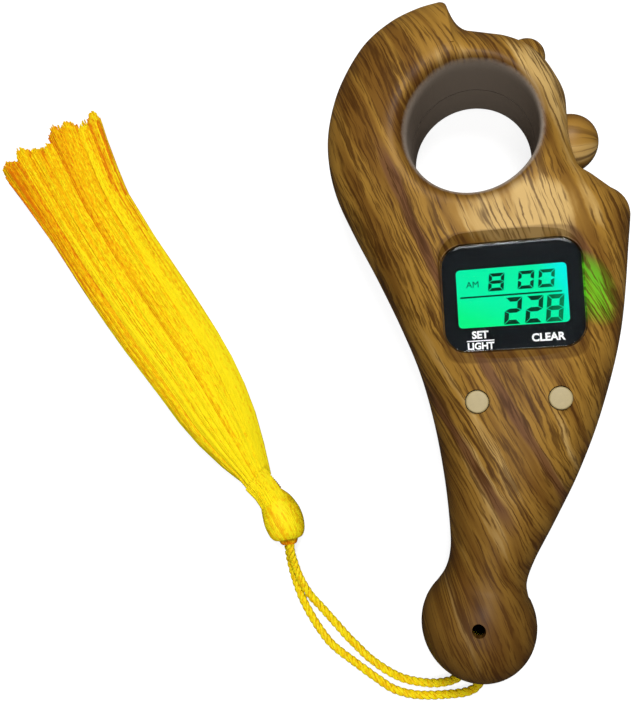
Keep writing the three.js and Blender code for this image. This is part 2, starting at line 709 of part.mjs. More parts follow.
function backShell() {
  const half = solid(box(bodyWidth * 2, bodyLength * 2, partingHeight, 0, 0, 0));
  const posts = caseScrewPlaces.map(([x, y]) => solid(post(casePostRadius, 0, partingHeight, x, y)));
  const tray = solid(box(trayWidth, trayLength, trayTop, trayX, trayY, 0));
  const cavity = cut(housingCavity(wall, partingHeight), tray, ...posts);
  const screwWays = caseScrewPlaces.flatMap(([x, y]) => [
    solid(post(caseScrewHeadRadius + fitGap, -cutOverrun, caseScrewSeat, x, y, roundSteps)),
    solid(post(caseScrewShankRadius + fitGap, -cutOverrun, bodyThickness, x, y)),
  ]);
  const doorShape = roundedRectangle(doorWidth + fitGap * 2, doorLength + fitGap * 2, doorCorner + fitGap);
  const doorRecess = solid(plate(doorShape, cellFoot + cutOverrun, trayX, trayY, -cutOverrun));
  const cellWell = solid(post(cellRadius + cellGap, 0, trayInside, trayX, trayY, roundSteps));
  const [screwX, screwY] = doorScrewPlace;
  const doorPilotTop = doorScrewSeat + smallScrewLength + fitGap;
  return cut(
    housingBody().intersect(half), cavity, fingerHole(), doorRecess, cellWell, doorTongue(fitGap),
    ...Object.values(stripPlaces).map((side) => contactStrip(side, cellFoot, fitGap)),
    solid(post(smallScrewShankRadius + fitGap, 0, doorPilotTop, screwX, screwY)),
    solid(alongCordHole(post(cordHoleRadius, endBallRadius / 2, endBallRadius * 2, 0, 0, roundSteps))),
    ...screwWays, ...countCuts(),
  );
}

function batteryDoor() {
  const shape = roundedRectangle(doorWidth, doorLength, doorCorner);
  const [screwX, screwY] = doorScrewPlace;
  return cut(
    join(solid(plate(shape, doorThickness, trayX, trayY, doorInset)), doorTongue(0)),
    solid(post(smallScrewHeadRadius + fitGap, 0, doorScrewSeat, screwX, screwY)),
    solid(post(smallScrewShankRadius + fitGap, 0, bodyThickness, screwX, screwY)),
  );
}

function coinCell() {
  const rim = cellRadius - cellEdge;
  return turned([
    [0, cellFoot], [rim, cellFoot], [cellRadius, cellFoot + cellEdge], [cellRadius, cellTop - cellEdge * 2],
    [rim, cellTop - cellEdge], [rim, cellTop], [0, cellTop],
  ], roundSteps).translate(trayX, trayY, 0);
}

// A screw that points up, its head's seat at a height.
function screw([x, y], seat, headRadius, headHeight, shankRadius, length) {
  const shoulder = headHeight * screwShoulderShare;
  const foot = seat - headHeight;
  return turned([
    [0, foot], [headRadius - shoulder, foot], [headRadius, foot + shoulder], [headRadius, seat],
    [shankRadius, seat], [shankRadius, seat + length - shankRadius], [0, seat + length],
  ]).translate(x, y, 0);
}

const caseScrew = (at) => screw(
  at, caseScrewSeat, caseScrewHeadRadius, caseScrewHeadHeight, caseScrewShankRadius, caseScrewLength,
);
const smallScrew = (at, seat) => screw(
  at, seat, smallScrewHeadRadius, smallScrewHeadHeight, smallScrewShankRadius, smallScrewLength,
);

function mainBoard() {
  const shoulder = THREE.MathUtils.lerp(boardFootY, boardHeadY, boardShoulderShare);
  const [footLeft, footRight] = boardFootSideShares.map((share) => share * bodyWidth);
  const [headLeft, headRight] = boardHeadSideShares.map((share) => share * bodyWidth);
  const outlinePoints = [
    vec2(footLeft, boardFootY), vec2(footRight, boardFootY), vec2(headRight, shoulder),
    vec2(headRight, boardHeadY), vec2(headLeft, boardHeadY), vec2(headLeft, shoulder),
  ];
  const board = solid(plate(new THREE.Shape(outlinePoints), boardThickness, 0, 0, boardUnder));
  const holes = boardScrewPlaces.map(([x, y]) =>
    solid(post(smallScrewShankRadius + fitGap, 0, bodyThickness, x, y)));
  return cut(board, ...holes);
}

function controllerChip() {
  const edge = chipRadius * chipEdgeShare;
  return turned([
    [0, boardUnder - chipHeight], [edge, boardUnder - chipHeight / 2], [chipRadius, boardUnder],
    [0, boardUnder],
  ]).translate(chipX, chipY, 0);
}

function clockCrystal() {
  const can = new THREE.CylinderGeometry(crystalRadius, crystalRadius, crystalLength, smallSteps);
  return can.translate(crystalX, chipY, boardUnder - crystalRadius);
}

function displayWindow() {
  const shape = roundedRectangle(windowWidth, windowHeight, windowCorner);
  return plate(shape, windowThickness, windowX, windowY, maskTop);
}

function displayMask() {
  return cut(
    windowPrism(windowWidth, windowHeight, windowCorner, ledgeTop, maskTop),
    windowPrism(lcdViewWidth, lcdViewHeight, lcdViewCorner, lcdTop, bodyAbove),
  );
}

function backlightPanel() {
  return box(backlightWidth, backlightHeight, backlightThickness, windowX, windowY, boardTop);
}

function zebraStrip(side) {
  const offset = (lcdHeight - zebraDepth) / 2 - zebraInset;
  return box(zebraWidth, zebraDepth, backlightThickness, windowX, windowY + side * offset, boardTop);
}

function faceSwitchBase([x, y]) {
  const foot = boardTop + faceSwitchHeight - faceSwitchBore;
  return cut(
    solid(box(faceSwitchSide, faceSwitchSide, faceSwitchHeight, x, y, boardTop)),
    solid(post(plungerRadius + slideGap, foot, bodyThickness, x, y)),
  );
}

function facePlunger([x, y]) {
  const foot = boardTop + faceSwitchHeight - faceSwitchBore + faceButtonTravel + plungerReserve;
  return post(plungerRadius, foot, plungerTop, x, y);
}

function faceButtonCap([x, y]) {
  return turned([
    [0, plungerTop], [faceButtonFlangeRadius, plungerTop], [faceButtonFlangeRadius, faceSeatHeight],
    [faceButtonRadius, faceSeatHeight], [faceButtonRadius, faceButtonTop - faceButtonEdge],
    [faceButtonRadius - faceButtonEdge, faceButtonTop], [0, faceButtonTop],
  ], roundSteps).translate(x, y, 0);
}

// The count button's hollow ball head, with a flange that keeps it in and a stem on its switch
function countKnob() {
  const arc = (radius, start, end, steps) => Array.from({ length: steps + 1 }, (_, i) => {
    const turn = THREE.MathUtils.lerp(start, end, i / steps);
    return [radius * Math.cos(turn), countBallReach + radius * Math.sin(turn)];
  });
  const inside = countBallRadius - countCapWall;
  const stemTurn = Math.acos(countStemRadius / inside);
  return alongPush(turned([
    [0, countPlungerTop], [countStemRadius, countPlungerTop], ...arc(inside, stemTurn, 0, knobInsideSteps),
    [inside, countFlangeReach], [countFlangeRadius, countFlangeReach], [countFlangeRadius, countSeatReach],
    [countBallRadius, countSeatReach],
    ...arc(countBallRadius, 0, Math.PI / 2, knobOutsideSteps).slice(0, -1),
    [0, countBallReach + countBallRadius],
  ], roundSteps));
}

function countBoard() {
  const length = countBoardAbove + countBoardBelow;
  const middle = (countBoardAbove - countBoardBelow) / 2;
  return alongPush(box(countBoardWidth, length, countBoardThickness, 0, middle, countPadReach));
}

function countSwitchBase() {
  const foot = countBoardTop + countSwitchHeight - countSwitchBore;
  return cut(
    solid(alongPush(box(faceSwitchSide, faceSwitchSide, countSwitchHeight, 0, 0, countBoardTop))),
    solid(alongPush(post(plungerRadius + slideGap, foot, bodyWidth))),
  );
}

function countPlunger() {
  const foot = countBoardTop + countSwitchHeight - countSwitchBore + countTravel + plungerReserve;
  return alongPush(post(plungerRadius, foot, countPlungerTop));
}

// A tube of an even section along hand-laid points.
function tube(route, section, steps) {
  const path = new THREE.CatmullRomCurve3(route.map((point) => vec3(...point)), false, 'centripetal');
  return new THREE.ExtrudeGeometry(section, { steps, bevelEnabled: false, extrudePath: path });
}

function roundSection(radius, sides) {
  return new THREE.Shape(Array.from({ length: sides }, (_, i) => {
    const turn = (i + 0.5) / sides * Math.PI * 2;
    return vec2(radius * Math.cos(turn), radius * Math.sin(turn));
  }));
}

// The flat lead from the count board's foot to the main board's upper edge.
// Each row: share across, share along, share of the rise.
const leadShares = [[0, 0, 0], [0.08, 0.21, 0.08], [0.46, 0.54, 0.39], [0.88, 0.81, 0.81], [1, 1, 1]];

function countLead() {
  const section = new THREE.Shape([
    vec2(-leadThickness / 2, -leadWidth / 2), vec2(leadThickness / 2, -leadWidth / 2),
    vec2(leadThickness / 2, leadWidth / 2), vec2(-leadThickness / 2, leadWidth / 2),
  ]);
  const reach = countPadReach + countBoardThickness / 2;
  const below = countBoardBelow + leadGap * 2;
  const push = vec2(Math.cos(countTurn * degree), Math.sin(countTurn * degree));
  const startX = ringHoleX + push.x * reach + push.y * below;
  const startY = ringHoleY + push.y * reach - push.x * below;
  const boardMiddle = boardUnder + boardThickness / 2;
  const route = leadShares.map(([across, along, rise]) => [
    THREE.MathUtils.lerp(startX, windowX + leadShift, across),
    THREE.MathUtils.lerp(startY, boardHeadY + leadGap, along),
    THREE.MathUtils.lerp(partingHeight, boardMiddle, rise),
  ]);
  return tube(route, section, leadSteps);
}

// The knot that keeps the cord in, behind the inner rim of its hole
function cordKnot() {
  const rimReach = Math.sqrt((endBallRadius - wall) ** 2 - cordHoleRadius ** 2);
  const seatLength = Math.sqrt(1 - (cordHoleRadius / knotRadius) ** 2) * knotLength / 2;
  const middle = rimReach - seatLength - fitGap;
  const profile = Array.from({ length: knotSteps + 1 }, (_, i) => {
    const turn = i / knotSteps * Math.PI;
    return [knotRadius * Math.sin(turn), middle - knotLength / 2 * Math.cos(turn)];
  });
  return alongCordHole(turned(profile));
}

// Places a piece that was made along +Z on the floor, its axis level and pointing along a turn.
function laid(geometry, turn, x, y, z) {
  return geometry.rotateX(Math.PI / 2).rotateZ((turn + 90) * degree).translate(x, y, z);
}

function tasselHead() {
  return laid(turned([
    [0, 0], [headTipRadius, 0],
    ...headShares.map(([wide, along]) => [headRadius * wide, headLength * along]),
    [neckRadius, headLength * headShoulderShare],
    [neckRadius, headLength + neckLength], [0, headLength + neckLength],
  ], roundSteps), headTurn, headX, headY, headRadius);
}

// The skirt's sections. Each row: share along, sideways offset share, half width share, half depth share.
const skirtShares = [
  [0, 0, 0.2, 0.62], [0.04, 0, 0.31, 0.76], [0.1, 0.08, 0.46, 0.88], [0.18, 0.1, 0.6, 0.96],
  [0.3, 0.15, 0.69, 1], [0.44, -0.25, 0.74, 1], [0.6, -0.6, 0.76, 0.96], [0.76, -0.75, 0.77, 0.88],
  [0.88, -0.55, 0.88, 0.78], [1, -0.4, 1, 0.64],
];

function tasselSkirt() {
  const ringPoints = skirtFlutes * 3;
  const turns = Array.from({ length: ringPoints }, (_, i) => i / ringPoints * Math.PI * 2);
  const rings = skirtShares.map(([along, sideways, half, deep]) => turns.map((turn) => {
    const flute = 1 - skirtFluteShare * (1 + Math.cos(turn * skirtFlutes)) * Math.sqrt(along);
    const wave = Math.sin(turn * skirtRaggedWaves) * Math.cos(turn * skirtRaggedBeats);
    const slant = skirtSlantShare * (1 - Math.cos(turn)) / 2;
    const ragged = along < 1 ? 0 : skirtRaggedShare * wave - slant;
    const depth = skirtHalfDepth * deep;
    return vec3(
      -sideways * skirtOffset + skirtHalfWidth * half * flute * Math.cos(turn),
      depth + depth * flute * Math.sin(turn),
      skirtLength * (along + ragged),
    );
  }));
  const start = vec2(headX, headY).addScaledVector(
    vec2(Math.cos(headTurn * degree), Math.sin(headTurn * degree)), headLength + neckLength + fitGap,
  );
  return laid(loft(rings), skirtTurn, start.x, start.y, 0);
}

// Every sub-part by its name
const plasticFinish = { roughness: 0.42, metalness: 0 };
const steelFinish = { roughness: 0.3, metalness: 1 };
const threadFinish = { roughness: 0.75, metalness: 0 };
const wood = { color: 0x9a6f38, ...plasticFinish };
const steel = { color: 0xb9bcc0, ...steelFinish };
const brass = { color: 0xc9a24b, ...steelFinish };
const beige = { color: 0xcdb48c, ...plasticFinish };
const black = { color: 0x0c0d0e, roughness: 0.2, metalness: 0 };
const white = { color: 0xe8ece8, ...plasticFinish };
const green = { color: 0x2f6b3a, roughness: 0.5, metalness: 0 };
const rubber = { color: 0x3a3a3c, roughness: 0.8, metalness: 0 };
const ribbon = { color: 0xa8acb0, roughness: 0.6, metalness: 0 };
const clear = { color: 0x101214, roughness: 0.08, metalness: 0, transparent: true, opacity: 0.35 };
const lit = { color: 0x19e889, roughness: 0.25, metalness: 0 };
const yellow = { color: 0xf2c512, ...threadFinish };

const counter = new THREE.Group();

function add(name, form, finish) {
  const geometry = form instanceof wasm.Manifold ? geometryOf(form) : form;
  const mesh = new THREE.Mesh(geometry, new THREE.MeshStandardMaterial(finish));
  mesh.name = name;
  counter.add(mesh);
}

add('front_shell', frontShell(), wood);
add('back_shell', backShell(), wood);
add('battery_door', batteryDoor(), wood);
add('battery_door_screw', smallScrew(doorScrewPlace, doorScrewSeat), steel);
caseScrewPlaces.forEach((at, i) => add(`case_screw_${i + 1}`, caseScrew(at), steel));

add('display_window', displayWindow(), clear);
add('display_mask', displayMask(), black);
add('lcd_panel', box(lcdWidth, lcdHeight, lcdThickness, windowX, windowY, lcdFoot), lit);
add('backlight_panel', backlightPanel(), white);
add('backlight_led', box(ledWidth, ledLength, ledThickness, ledX, windowY, boardTop), white);
add('zebra_strip_upper', zebraStrip(1), rubber);
add('zebra_strip_lower', zebraStrip(-1), rubber);

add('main_board', mainBoard(), green);
boardScrewPlaces.forEach((at, i) => add(`board_screw_${i + 1}`, smallScrew(at, boardUnder), steel));
add('controller_chip', controllerChip(), black);
add('clock_crystal', clockCrystal(), steel);
['mode', 'reset'].forEach((name, i) => {
  add(`${name}_button_cap`, faceButtonCap(faceButtonPlaces[i]), beige);
  add(`${name}_switch_base`, faceSwitchBase(faceButtonPlaces[i]), black);
  add(`${name}_switch_plunger`, facePlunger(faceButtonPlaces[i]), black);
});

add('count_knob', countKnob(), wood);
add('count_board', countBoard(), green);
add('count_switch_base', countSwitchBase(), black);
add('count_switch_plunger', countPlunger(), black);
add('count_lead', countLead(), ribbon);

add('coin_cell', coinCell(), steel);
add('contact_plus', contactPlus(), brass);
add('contact_minus', contactMinus(), brass);

add('cord_knot', cordKnot(), yellow);
for (const [name, route] of Object.entries(cordRoutes)) {
  add(name, tube(route, roundSection(cordRadius, cordSides), cordSteps), yellow);
}
add('tassel_head', tasselHead(), yellow);
add('tassel_skirt', tasselSkirt(), yellow);

export default counter;
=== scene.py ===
import math
import random

import bmesh
import bpy
from mathutils import Matrix, Vector
from mathutils.bvhtree import BVHTree


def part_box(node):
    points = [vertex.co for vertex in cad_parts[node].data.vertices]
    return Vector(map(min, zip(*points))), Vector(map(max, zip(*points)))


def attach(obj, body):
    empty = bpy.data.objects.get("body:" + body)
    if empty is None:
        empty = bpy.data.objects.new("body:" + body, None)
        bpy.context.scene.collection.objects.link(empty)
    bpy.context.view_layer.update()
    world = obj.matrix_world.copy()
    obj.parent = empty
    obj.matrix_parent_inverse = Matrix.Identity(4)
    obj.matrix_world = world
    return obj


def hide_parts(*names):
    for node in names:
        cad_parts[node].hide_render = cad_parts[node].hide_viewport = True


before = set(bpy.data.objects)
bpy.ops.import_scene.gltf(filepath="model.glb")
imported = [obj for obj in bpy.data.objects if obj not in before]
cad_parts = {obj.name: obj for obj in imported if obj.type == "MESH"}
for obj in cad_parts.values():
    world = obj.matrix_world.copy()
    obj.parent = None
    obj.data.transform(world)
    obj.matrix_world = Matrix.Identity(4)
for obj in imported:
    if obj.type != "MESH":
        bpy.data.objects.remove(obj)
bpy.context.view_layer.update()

MM = 0.001
UP = Vector((0, 0, 1))

# Housing
BODY_LENGTH = 123
BODY_WIDTH = 52.4
BODY_THICKNESS = 24.5
PARTING_SHARE = 0.43
BACK_OVERDEPTH_SHARE = 1.1
CROWN_END_SHARE = 0.35
CROWN_OPEN_SHARE = 0.4
INSET_LIMIT_SHARE = 0.8
NECK_SOFTNESS = 1.2
WALL = 1.8
END_BALL_RADIUS = 10.1
END_BALL_ACROSS_SHARE = -0.0706
NUB_SHARES = (0.204, 0.4045)
NUB_RADIUS = 3.6
RING_HOLE_SHARES = (0.0076, 0.2789)
RING_HOLE_RADIUS = 11.1
RING_TUBE_WALL = 1.5
RING_COLLAR_WALL = 2.6
RING_COLLAR_DEPTH = 6.5
RING_RIM_ROUND = 4.2
RING_RIM_NARROW_ROUND = 1.6
RING_RIM_TURN = math.radians(155)
RING_HOLE_SIDES = 96
RIM_DEPTH_SHARE = 1.15
RIM_STEPS = 10
SLOPE_REACH = 0.4
BACK_RIM_ROUND = 1.2
BACK_RIM_STEPS = 7
SEAM_GROOVE = 0.1
FIT_GAP = 0.3
OVERRUN = 2

# Display
WINDOW_SHARES = (0.0985, 0.0437)
WINDOW_WIDTH = 22.3
WINDOW_HEIGHT = 17.6
WINDOW_CORNER = 3.6
WINDOW_FACE_HEIGHT = 23.2
WINDOW_FOOT_LIFT = 0.06
WINDOW_EDGE = 0.05
WINDOW_EDGE_REST = 0.01
WINDOW_SHARP_EDGE = 50
RECESS_MARGIN = 2.2
RECESS_SIDE_MARGIN = 0.9
RECESS_RISE = 1.5
LCD_VIEW_WIDTH = 17.8
LCD_VIEW_HEIGHT = 9.8
LCD_VIEW_CORNER = 0.7
LEDGE_OPENING_MARGIN = 0.5
LEDGE_WALL = 2.2
LEDGE_DEPTH = 0.2
PRINT_THICKNESS = 0.03
LCD_PRINT_LIFT = 0.02
LEGEND_LIFT = 0.03

# Buttons
BUTTON_RADIUS = 1.87
BUTTON_GAP = 0.13
BUTTON_FLANGE_THICKNESS = 0.7
BUTTON_EDGE = 0.3
BUTTON_CROWN = 0.04
BUTTON_PLACES = {"mode": Vector((-1.5, -11.8)), "reset": Vector((11.7, -11.8))}
COUNT_TURN = math.radians(-3.8)
COUNT_BALL_RADIUS = 5.2
COUNT_BALL_REACH = 16.7
COUNT_CAP_WALL = 0.9
COUNT_FLANGE_RADIUS = 6.3
COUNT_FLANGE_REACH = 14.4
COUNT_FLANGE_THICKNESS = 0.8
COUNT_STEM_RADIUS = 1.3
COUNT_STEM_FOOT = 15.8
COUNT_TRAVEL = 0.6

# Coin cell, battery door and screws
CELL_PLACE = Vector((4.9, 0.9))
CELL_WELL_RADIUS = 10.5
CELL_WELL_TOP = 5.8
CELL_FOOT = 1.8
TRAY_MARGIN = 2
TRAY_TOP = 7
DOOR_WIDTH = 23.4
DOOR_LENGTH = 26.4
DOOR_CORNER = 2
DOOR_EDGE = 0.25
TONGUE_WIDTH = 8
TONGUE_LENGTH = 3
TONGUE_THICKNESS = 0.7
CASE_SCREWS = [f"case_screw_{number}" for number in range(1, 5)]
CASE_SCREW_HEAD_RADIUS = 2
CASE_SCREW_HEAD_HEIGHT = 1.3
CASE_SCREW_SHANK_RADIUS = 1
CASE_SCREW_SEAT = 3.4
DOOR_SCREW_HEAD_RADIUS = 1.5
DOOR_SCREW_HEAD_HEIGHT = 0.7
DOOR_SCREW_SHANK_RADIUS = 0.7
DOOR_SCREW_SEAT = 1
SCREW_EDGE = 0.3
CROSS_ARM_SHARE = 1.3
CROSS_SLOT_SHARE = 0.24
CROSS_DEPTH_SHARE = 1.1
CROSS_TURN = 0.7

# Cord and tassel
CORD_RADIUS = 0.85
CORD_PLIES = 3
CORD_PITCH = 3.9
CORD_HOLE_RADIUS = 2.3
CORD_HOLE_DROP = math.radians(-35)
CORD_HOLE_TURN = math.radians(-100)
FRONT_HOLE = Vector((-3.5, -49.8))
FRONT_HOLE_RADIUS = 1.15
CORD_ROUTES = {
    "cord_strand_a": [
        (-3.95, -58.7, 5.5), (-3.9, -60.2, 4.3), (-3.9, -62.8, 2.7), (-4.4, -65.4, 1.5), (-6.6, -67.3, 1),
        (-11.5, -68.1, 1), (-16.6, -68.3, 1), (-20.8, -67.4, 1), (-24.1, -65.4, 1), (-28.1, -62.6, 1),
        (-32.5, -59.3, 1), (-35, -56.2, 1), (-36.9, -53.1, 1), (-38.4, -50, 1), (-39.6, -46.4, 1),
        (-40.3, -42.8, 1.4), (-40.4, -40.2, 2.2), (-40.2, -38.6, 2.9),
    ],
    "cord_strand_b": [
        (-5.9, -58.35, 5.5), (-6.15, -59.8, 4.5), (-6.7, -62, 3), (-7.9, -64.1, 1.7), (-10.2, -65.5, 1.05),
        (-13.8, -66, 1), (-18.4, -65.4, 1), (-21.9, -63.9, 1), (-25.4, -61.5, 1), (-27.7, -59.3, 1),
        (-29.6, -57.4, 1), (-31.8, -54.9, 1), (-34.2, -52.1, 1.2), (-36.5, -49.2, 1.9), (-38.1, -46, 2.6),
        (-39.1, -42.6, 3.3), (-39.4, -40.2, 4.3), (-39.3, -38.4, 4.9),
    ],
}
HEAD_TURN = math.radians(117.5)
HEAD_FOOT = Vector((-39.9, -37.6, 3.95))
HEAD_RADIUS = 3.95
HEAD_LENGTH = 9.2
HEAD_BOW = 2.4
NECK_RADIUS = 2.5
NECK_LENGTH = 4
# Each row: share of the bulb's radius, share of its length
HEAD_SHARES = [
    (0.05, -0.11), (0.36, -0.11), (0.5, -0.02), (0.72, 0.01), (0.87, 0.09), (0.95, 0.2), (1, 0.36),
    (0.97, 0.55), (0.84, 0.78), (0.68, 0.93), (0.6, 1.02), (0.6, 1.2), (0.6, 1.43),
]
SKIRT_TURN = math.radians(120.1)
SKIRT_LENGTH = 90.5
SKIRT_HALF_WIDTH = 12.9
SKIRT_HALF_DEPTH = 3.9
SKIRT_OFFSET = 2.4
SKIRT_SLANT_SHARE = 0.035
# Each row: share along, sideways offset share, half width share, half depth share
SKIRT_SHARES = [
    (0, 0, 0.2, 0.62), (0.04, 0, 0.31, 0.76), (0.1, 0.08, 0.46, 0.88), (0.18, 0.1, 0.6, 0.96),
    (0.3, 0.15, 0.69, 1), (0.44, -0.25, 0.74, 1), (0.6, -0.6, 0.76, 0.96), (0.76, -0.75, 0.77, 0.88),
    (0.88, -0.55, 0.88, 0.78), (1, -0.4, 1, 0.64),
]


def on_body(shares):
    """A place from its shares of the housing's width and length."""
    return Vector((shares[0] * BODY_WIDTH, shares[1] * BODY_LENGTH))


# Places and heights that follow from the sizes above
RING_HOLE = on_body(RING_HOLE_SHARES)
NUB = on_body(NUB_SHARES)
WINDOW = on_body(WINDOW_SHARES)
END_BALL_X = END_BALL_ACROSS_SHARE * BODY_WIDTH
END_BALL_Y = END_BALL_RADIUS - BODY_LENGTH / 2
PARTING = BODY_THICKNESS * PARTING_SHARE
FRONT_DEPTH = BODY_THICKNESS - PARTING
BACK_DEPTH = PARTING * BACK_OVERDEPTH_SHARE
MASK_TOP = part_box("display_mask")[1].z / MM
LCD_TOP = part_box("lcd_panel")[1].z / MM
ABOVE = BODY_THICKNESS + OVERRUN
COUNT_SEAT = COUNT_FLANGE_REACH + COUNT_FLANGE_THICKNESS

# The photograph's camera
CAMERA_PLACE = Vector((-0.871, -9.079, 147.5))
CAMERA_RIGHT = Vector((0.97492, -0.04939, -0.21699))
CAMERA_UP = Vector((0.06053, 0.99716, 0.04499))
CAMERA_LENS = 37.79


def linked(name, data):
    """A new object in the scene."""
    made = bpy.data.objects.new(name, data)
    bpy.context.scene.collection.objects.link(made)
    return made


def make_camera():
    data = bpy.data.cameras.new("photo_camera")
    data.sensor_width = 36
    data.lens = CAMERA_LENS
    data.clip_start = 0.01
    camera = linked("photo_camera", data)
    turn = Matrix((CAMERA_RIGHT, CAMERA_UP, CAMERA_RIGHT.cross(CAMERA_UP))).transposed()
    camera.matrix_world = Matrix.Translation(CAMERA_PLACE * MM) @ turn.to_4x4()
    bpy.context.scene.camera = camera


# Curves and places
def clamp(value, low, high):
    return min(max(value, low), high)


def eased(start, end, leave, reach, t):
    """A value between two others that leaves the first and reaches the second at its own slopes."""
    bend_in = 3 * (end - start) - 2 * leave - reach
    bend_out = 2 * (start - end) + leave + reach
    return start + t * (leave + t * (bend_in + t * bend_out))


def drawn(start, pull, end, t):
    """A point of a curve from start to end that is drawn towards pull."""
    return start * (1 - t) ** 2 + pull * (2 * t * (1 - t)) + end * t * t


def spaced(start, end, steps):
    """Evenly spaced values from start to end, with both."""
    return [start + (end - start) * step / steps for step in range(steps + 1)]


def bowed(radius, height, edge, steps):
    """Profile points of a rounded edge from a wall up onto a top."""
    return [
        (radius - edge * (1 - math.cos(bow)), height - edge * (1 - math.sin(bow)))
        for bow in spaced(0, math.pi / 2, steps)
    ]


def smooth_line(points, steps):
    """A smooth curve through points, as a list with steps points for each span."""
    last = len(points) - 1
    made = []
    for span in range(last):
        before, start, end, after = (points[clamp(span + i, 0, last)] for i in (-1, 0, 1, 2))
        for step in range(steps):
            made.append(eased(start, end, (end - before) / 2, (after - start) / 2, step / steps))
    return [*made, points[-1]]


def row_below(table, share):
    """The number of the table's last row that starts at or before a share, and has a row after it."""
    return min(max(i for i, row in enumerate(table) if row[0] <= share), len(table) - 2)


def box_of(node):
    """A CAD piece's lowest corner, highest corner and middle, in millimetres."""
    low, high = (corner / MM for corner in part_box(node))
    return low, high, (low + high) / 2


# Mesh helpers
CORNER_STEPS = 10
MERGE_DISTANCE = 0.0005
SHARP_EDGE = 35
SOFT_EDGE = 80


def finished(name, form, material, body="housing", replaces=(), sharp=SHARP_EDGE):
    """Makes a bmesh in millimetres, or a mesh in metres, one finished piece that rides on a body."""
    if isinstance(form, bmesh.types.BMesh):
        bmesh.ops.scale(form, vec=(MM, MM, MM), verts=form.verts)
        mesh = bpy.data.meshes.new(name)
        form.to_mesh(mesh)
        form.free()
    else:
        mesh = form
        mesh.name = name
    mesh.shade_smooth()
    mesh.set_sharp_from_angle(angle=math.radians(sharp))
    mesh.materials.clear()
    mesh.materials.append(material)
    piece = linked(name, mesh)
    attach(piece, body)
    if replaces:
        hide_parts(*replaces)
    return piece


def next_ring(form, ring):
    """Extrudes a closed ring of vertices and gives the new ring in the same order."""
    edges = [form.edges.get((ring[i - 1], ring[i])) for i in range(len(ring))]
    made = set(bmesh.ops.extrude_edge_only(form, edges=edges)["geom"])
    return [next(e.other_vert(v) for e in v.link_edges if e.other_vert(v) in made) for v in ring]


def strip_fill(form, ring):
    """Fills a long ring with a strip that climbs both its sides from its lowest y to its highest."""
    count = len(ring)
    order = sorted(range(count), key=lambda i: ring[i].co.y)
    right = left = order[0]
    end = order[-1]
    while right != end or left != end:
        next_right = (right + 1) % count
        next_left = (left - 1) % count
        take_right = left == end or (right != end and ring[next_right].co.y <= ring[next_left].co.y)
        corners = (left, right, next_right if take_right else next_left)
        if len(set(corners)) == 3:
            form.faces.new([ring[i] for i in corners])
        if take_right:
            right = next_right
        else:
            left = next_left


def sheet_fill(form, ring):
    """Fills a flat ring."""
    cap = bmesh.ops.contextual_create(form, geom=ring)["faces"]
    bmesh.ops.triangulate(form, faces=cap)


def loft(rings, fill=sheet_fill, shades=()):
    """A closed skin over rings of equally many points, each with its shade. The end rings are filled."""
    form = bmesh.new()
    layer = form.verts.layers.float.new("shade") if shades else None
    ring = bmesh.ops.create_circle(form, segments=len(rings[0]), radius=1)["verts"]
    first = ring
    for level, points in enumerate(rings):
        if level:
            ring = next_ring(form, ring)
        for i, point in enumerate(points):
            ring[i].co = point
            if shades:
                ring[i][layer] = shades[level][i]
    for end in (first, ring):
        fill(form, end)
    bmesh.ops.recalc_face_normals(form, faces=form.faces)
    return form


def turned(profile, steps):
    """Revolves (radius, height) points round +Z, with both ends on the axis."""
    form = bmesh.new()
    verts = [form.verts.new((radius, 0, height)) for radius, height in profile]
    edges = [form.edges.new(pair) for pair in zip(verts, verts[1:])]
    bmesh.ops.spin(
        form, geom=verts + edges, cent=(0, 0, 0), axis=UP, angle=math.tau, steps=steps, use_merge=True,
    )
    bmesh.ops.remove_doubles(form, verts=form.verts, dist=MERGE_DISTANCE)
    bmesh.ops.recalc_face_normals(form, faces=form.faces)
    return form


def post(radius, foot, top, at=(0, 0), steps=32):
    """An upright round bar."""
    form = bmesh.new()
    middle = Matrix.Translation((at[0], at[1], (foot + top) / 2))
    bmesh.ops.create_cone(
        form, cap_ends=True, segments=steps, radius1=radius, radius2=radius, depth=top - foot, matrix=middle,
    )
    return form


def block(size, centre):
    """A box by its size and its middle."""
    form = bmesh.new()
    bmesh.ops.create_cube(form, size=1, matrix=Matrix.LocRotScale(Vector(centre), None, Vector(size)))
    return form


def rounded_rectangle(width, height, corner, centre, z):
    """The corner points of a rounded rectangle, counter-clockwise."""
    points = []
    for quarter, (right, top) in enumerate([(1, 1), (-1, 1), (-1, -1), (1, -1)]):
        middle = Vector((right * (width / 2 - corner), top * (height / 2 - corner)))
        for turn in spaced(quarter * math.pi / 2, (quarter + 1) * math.pi / 2, CORNER_STEPS):
            at = centre + middle + corner * Vector((math.cos(turn), math.sin(turn)))
            points.append(Vector((at.x, at.y, z)))
    return points


def grown_rectangle(size, out, centre, z):
    """A rounded rectangle's corner points, moved out by a distance."""
    width, height, corner = size
    return rounded_rectangle(width + out * 2, height + out * 2, corner + out, centre, z)


def prism(outline, top):
    """A closed block from an outline up to a height."""
    return loft([outline, [Vector((point.x, point.y, top)) for point in outline]])


def moved(form, matrix):
    """The form itself, moved or turned."""
    bmesh.ops.transform(form, matrix=matrix, verts=form.verts)
    return form


def evaluated_mesh(maker):
    """The mesh that an object's curve or modifiers give."""
    graph = bpy.context.evaluated_depsgraph_get()
    return bpy.data.meshes.new_from_object(maker.evaluated_get(graph))


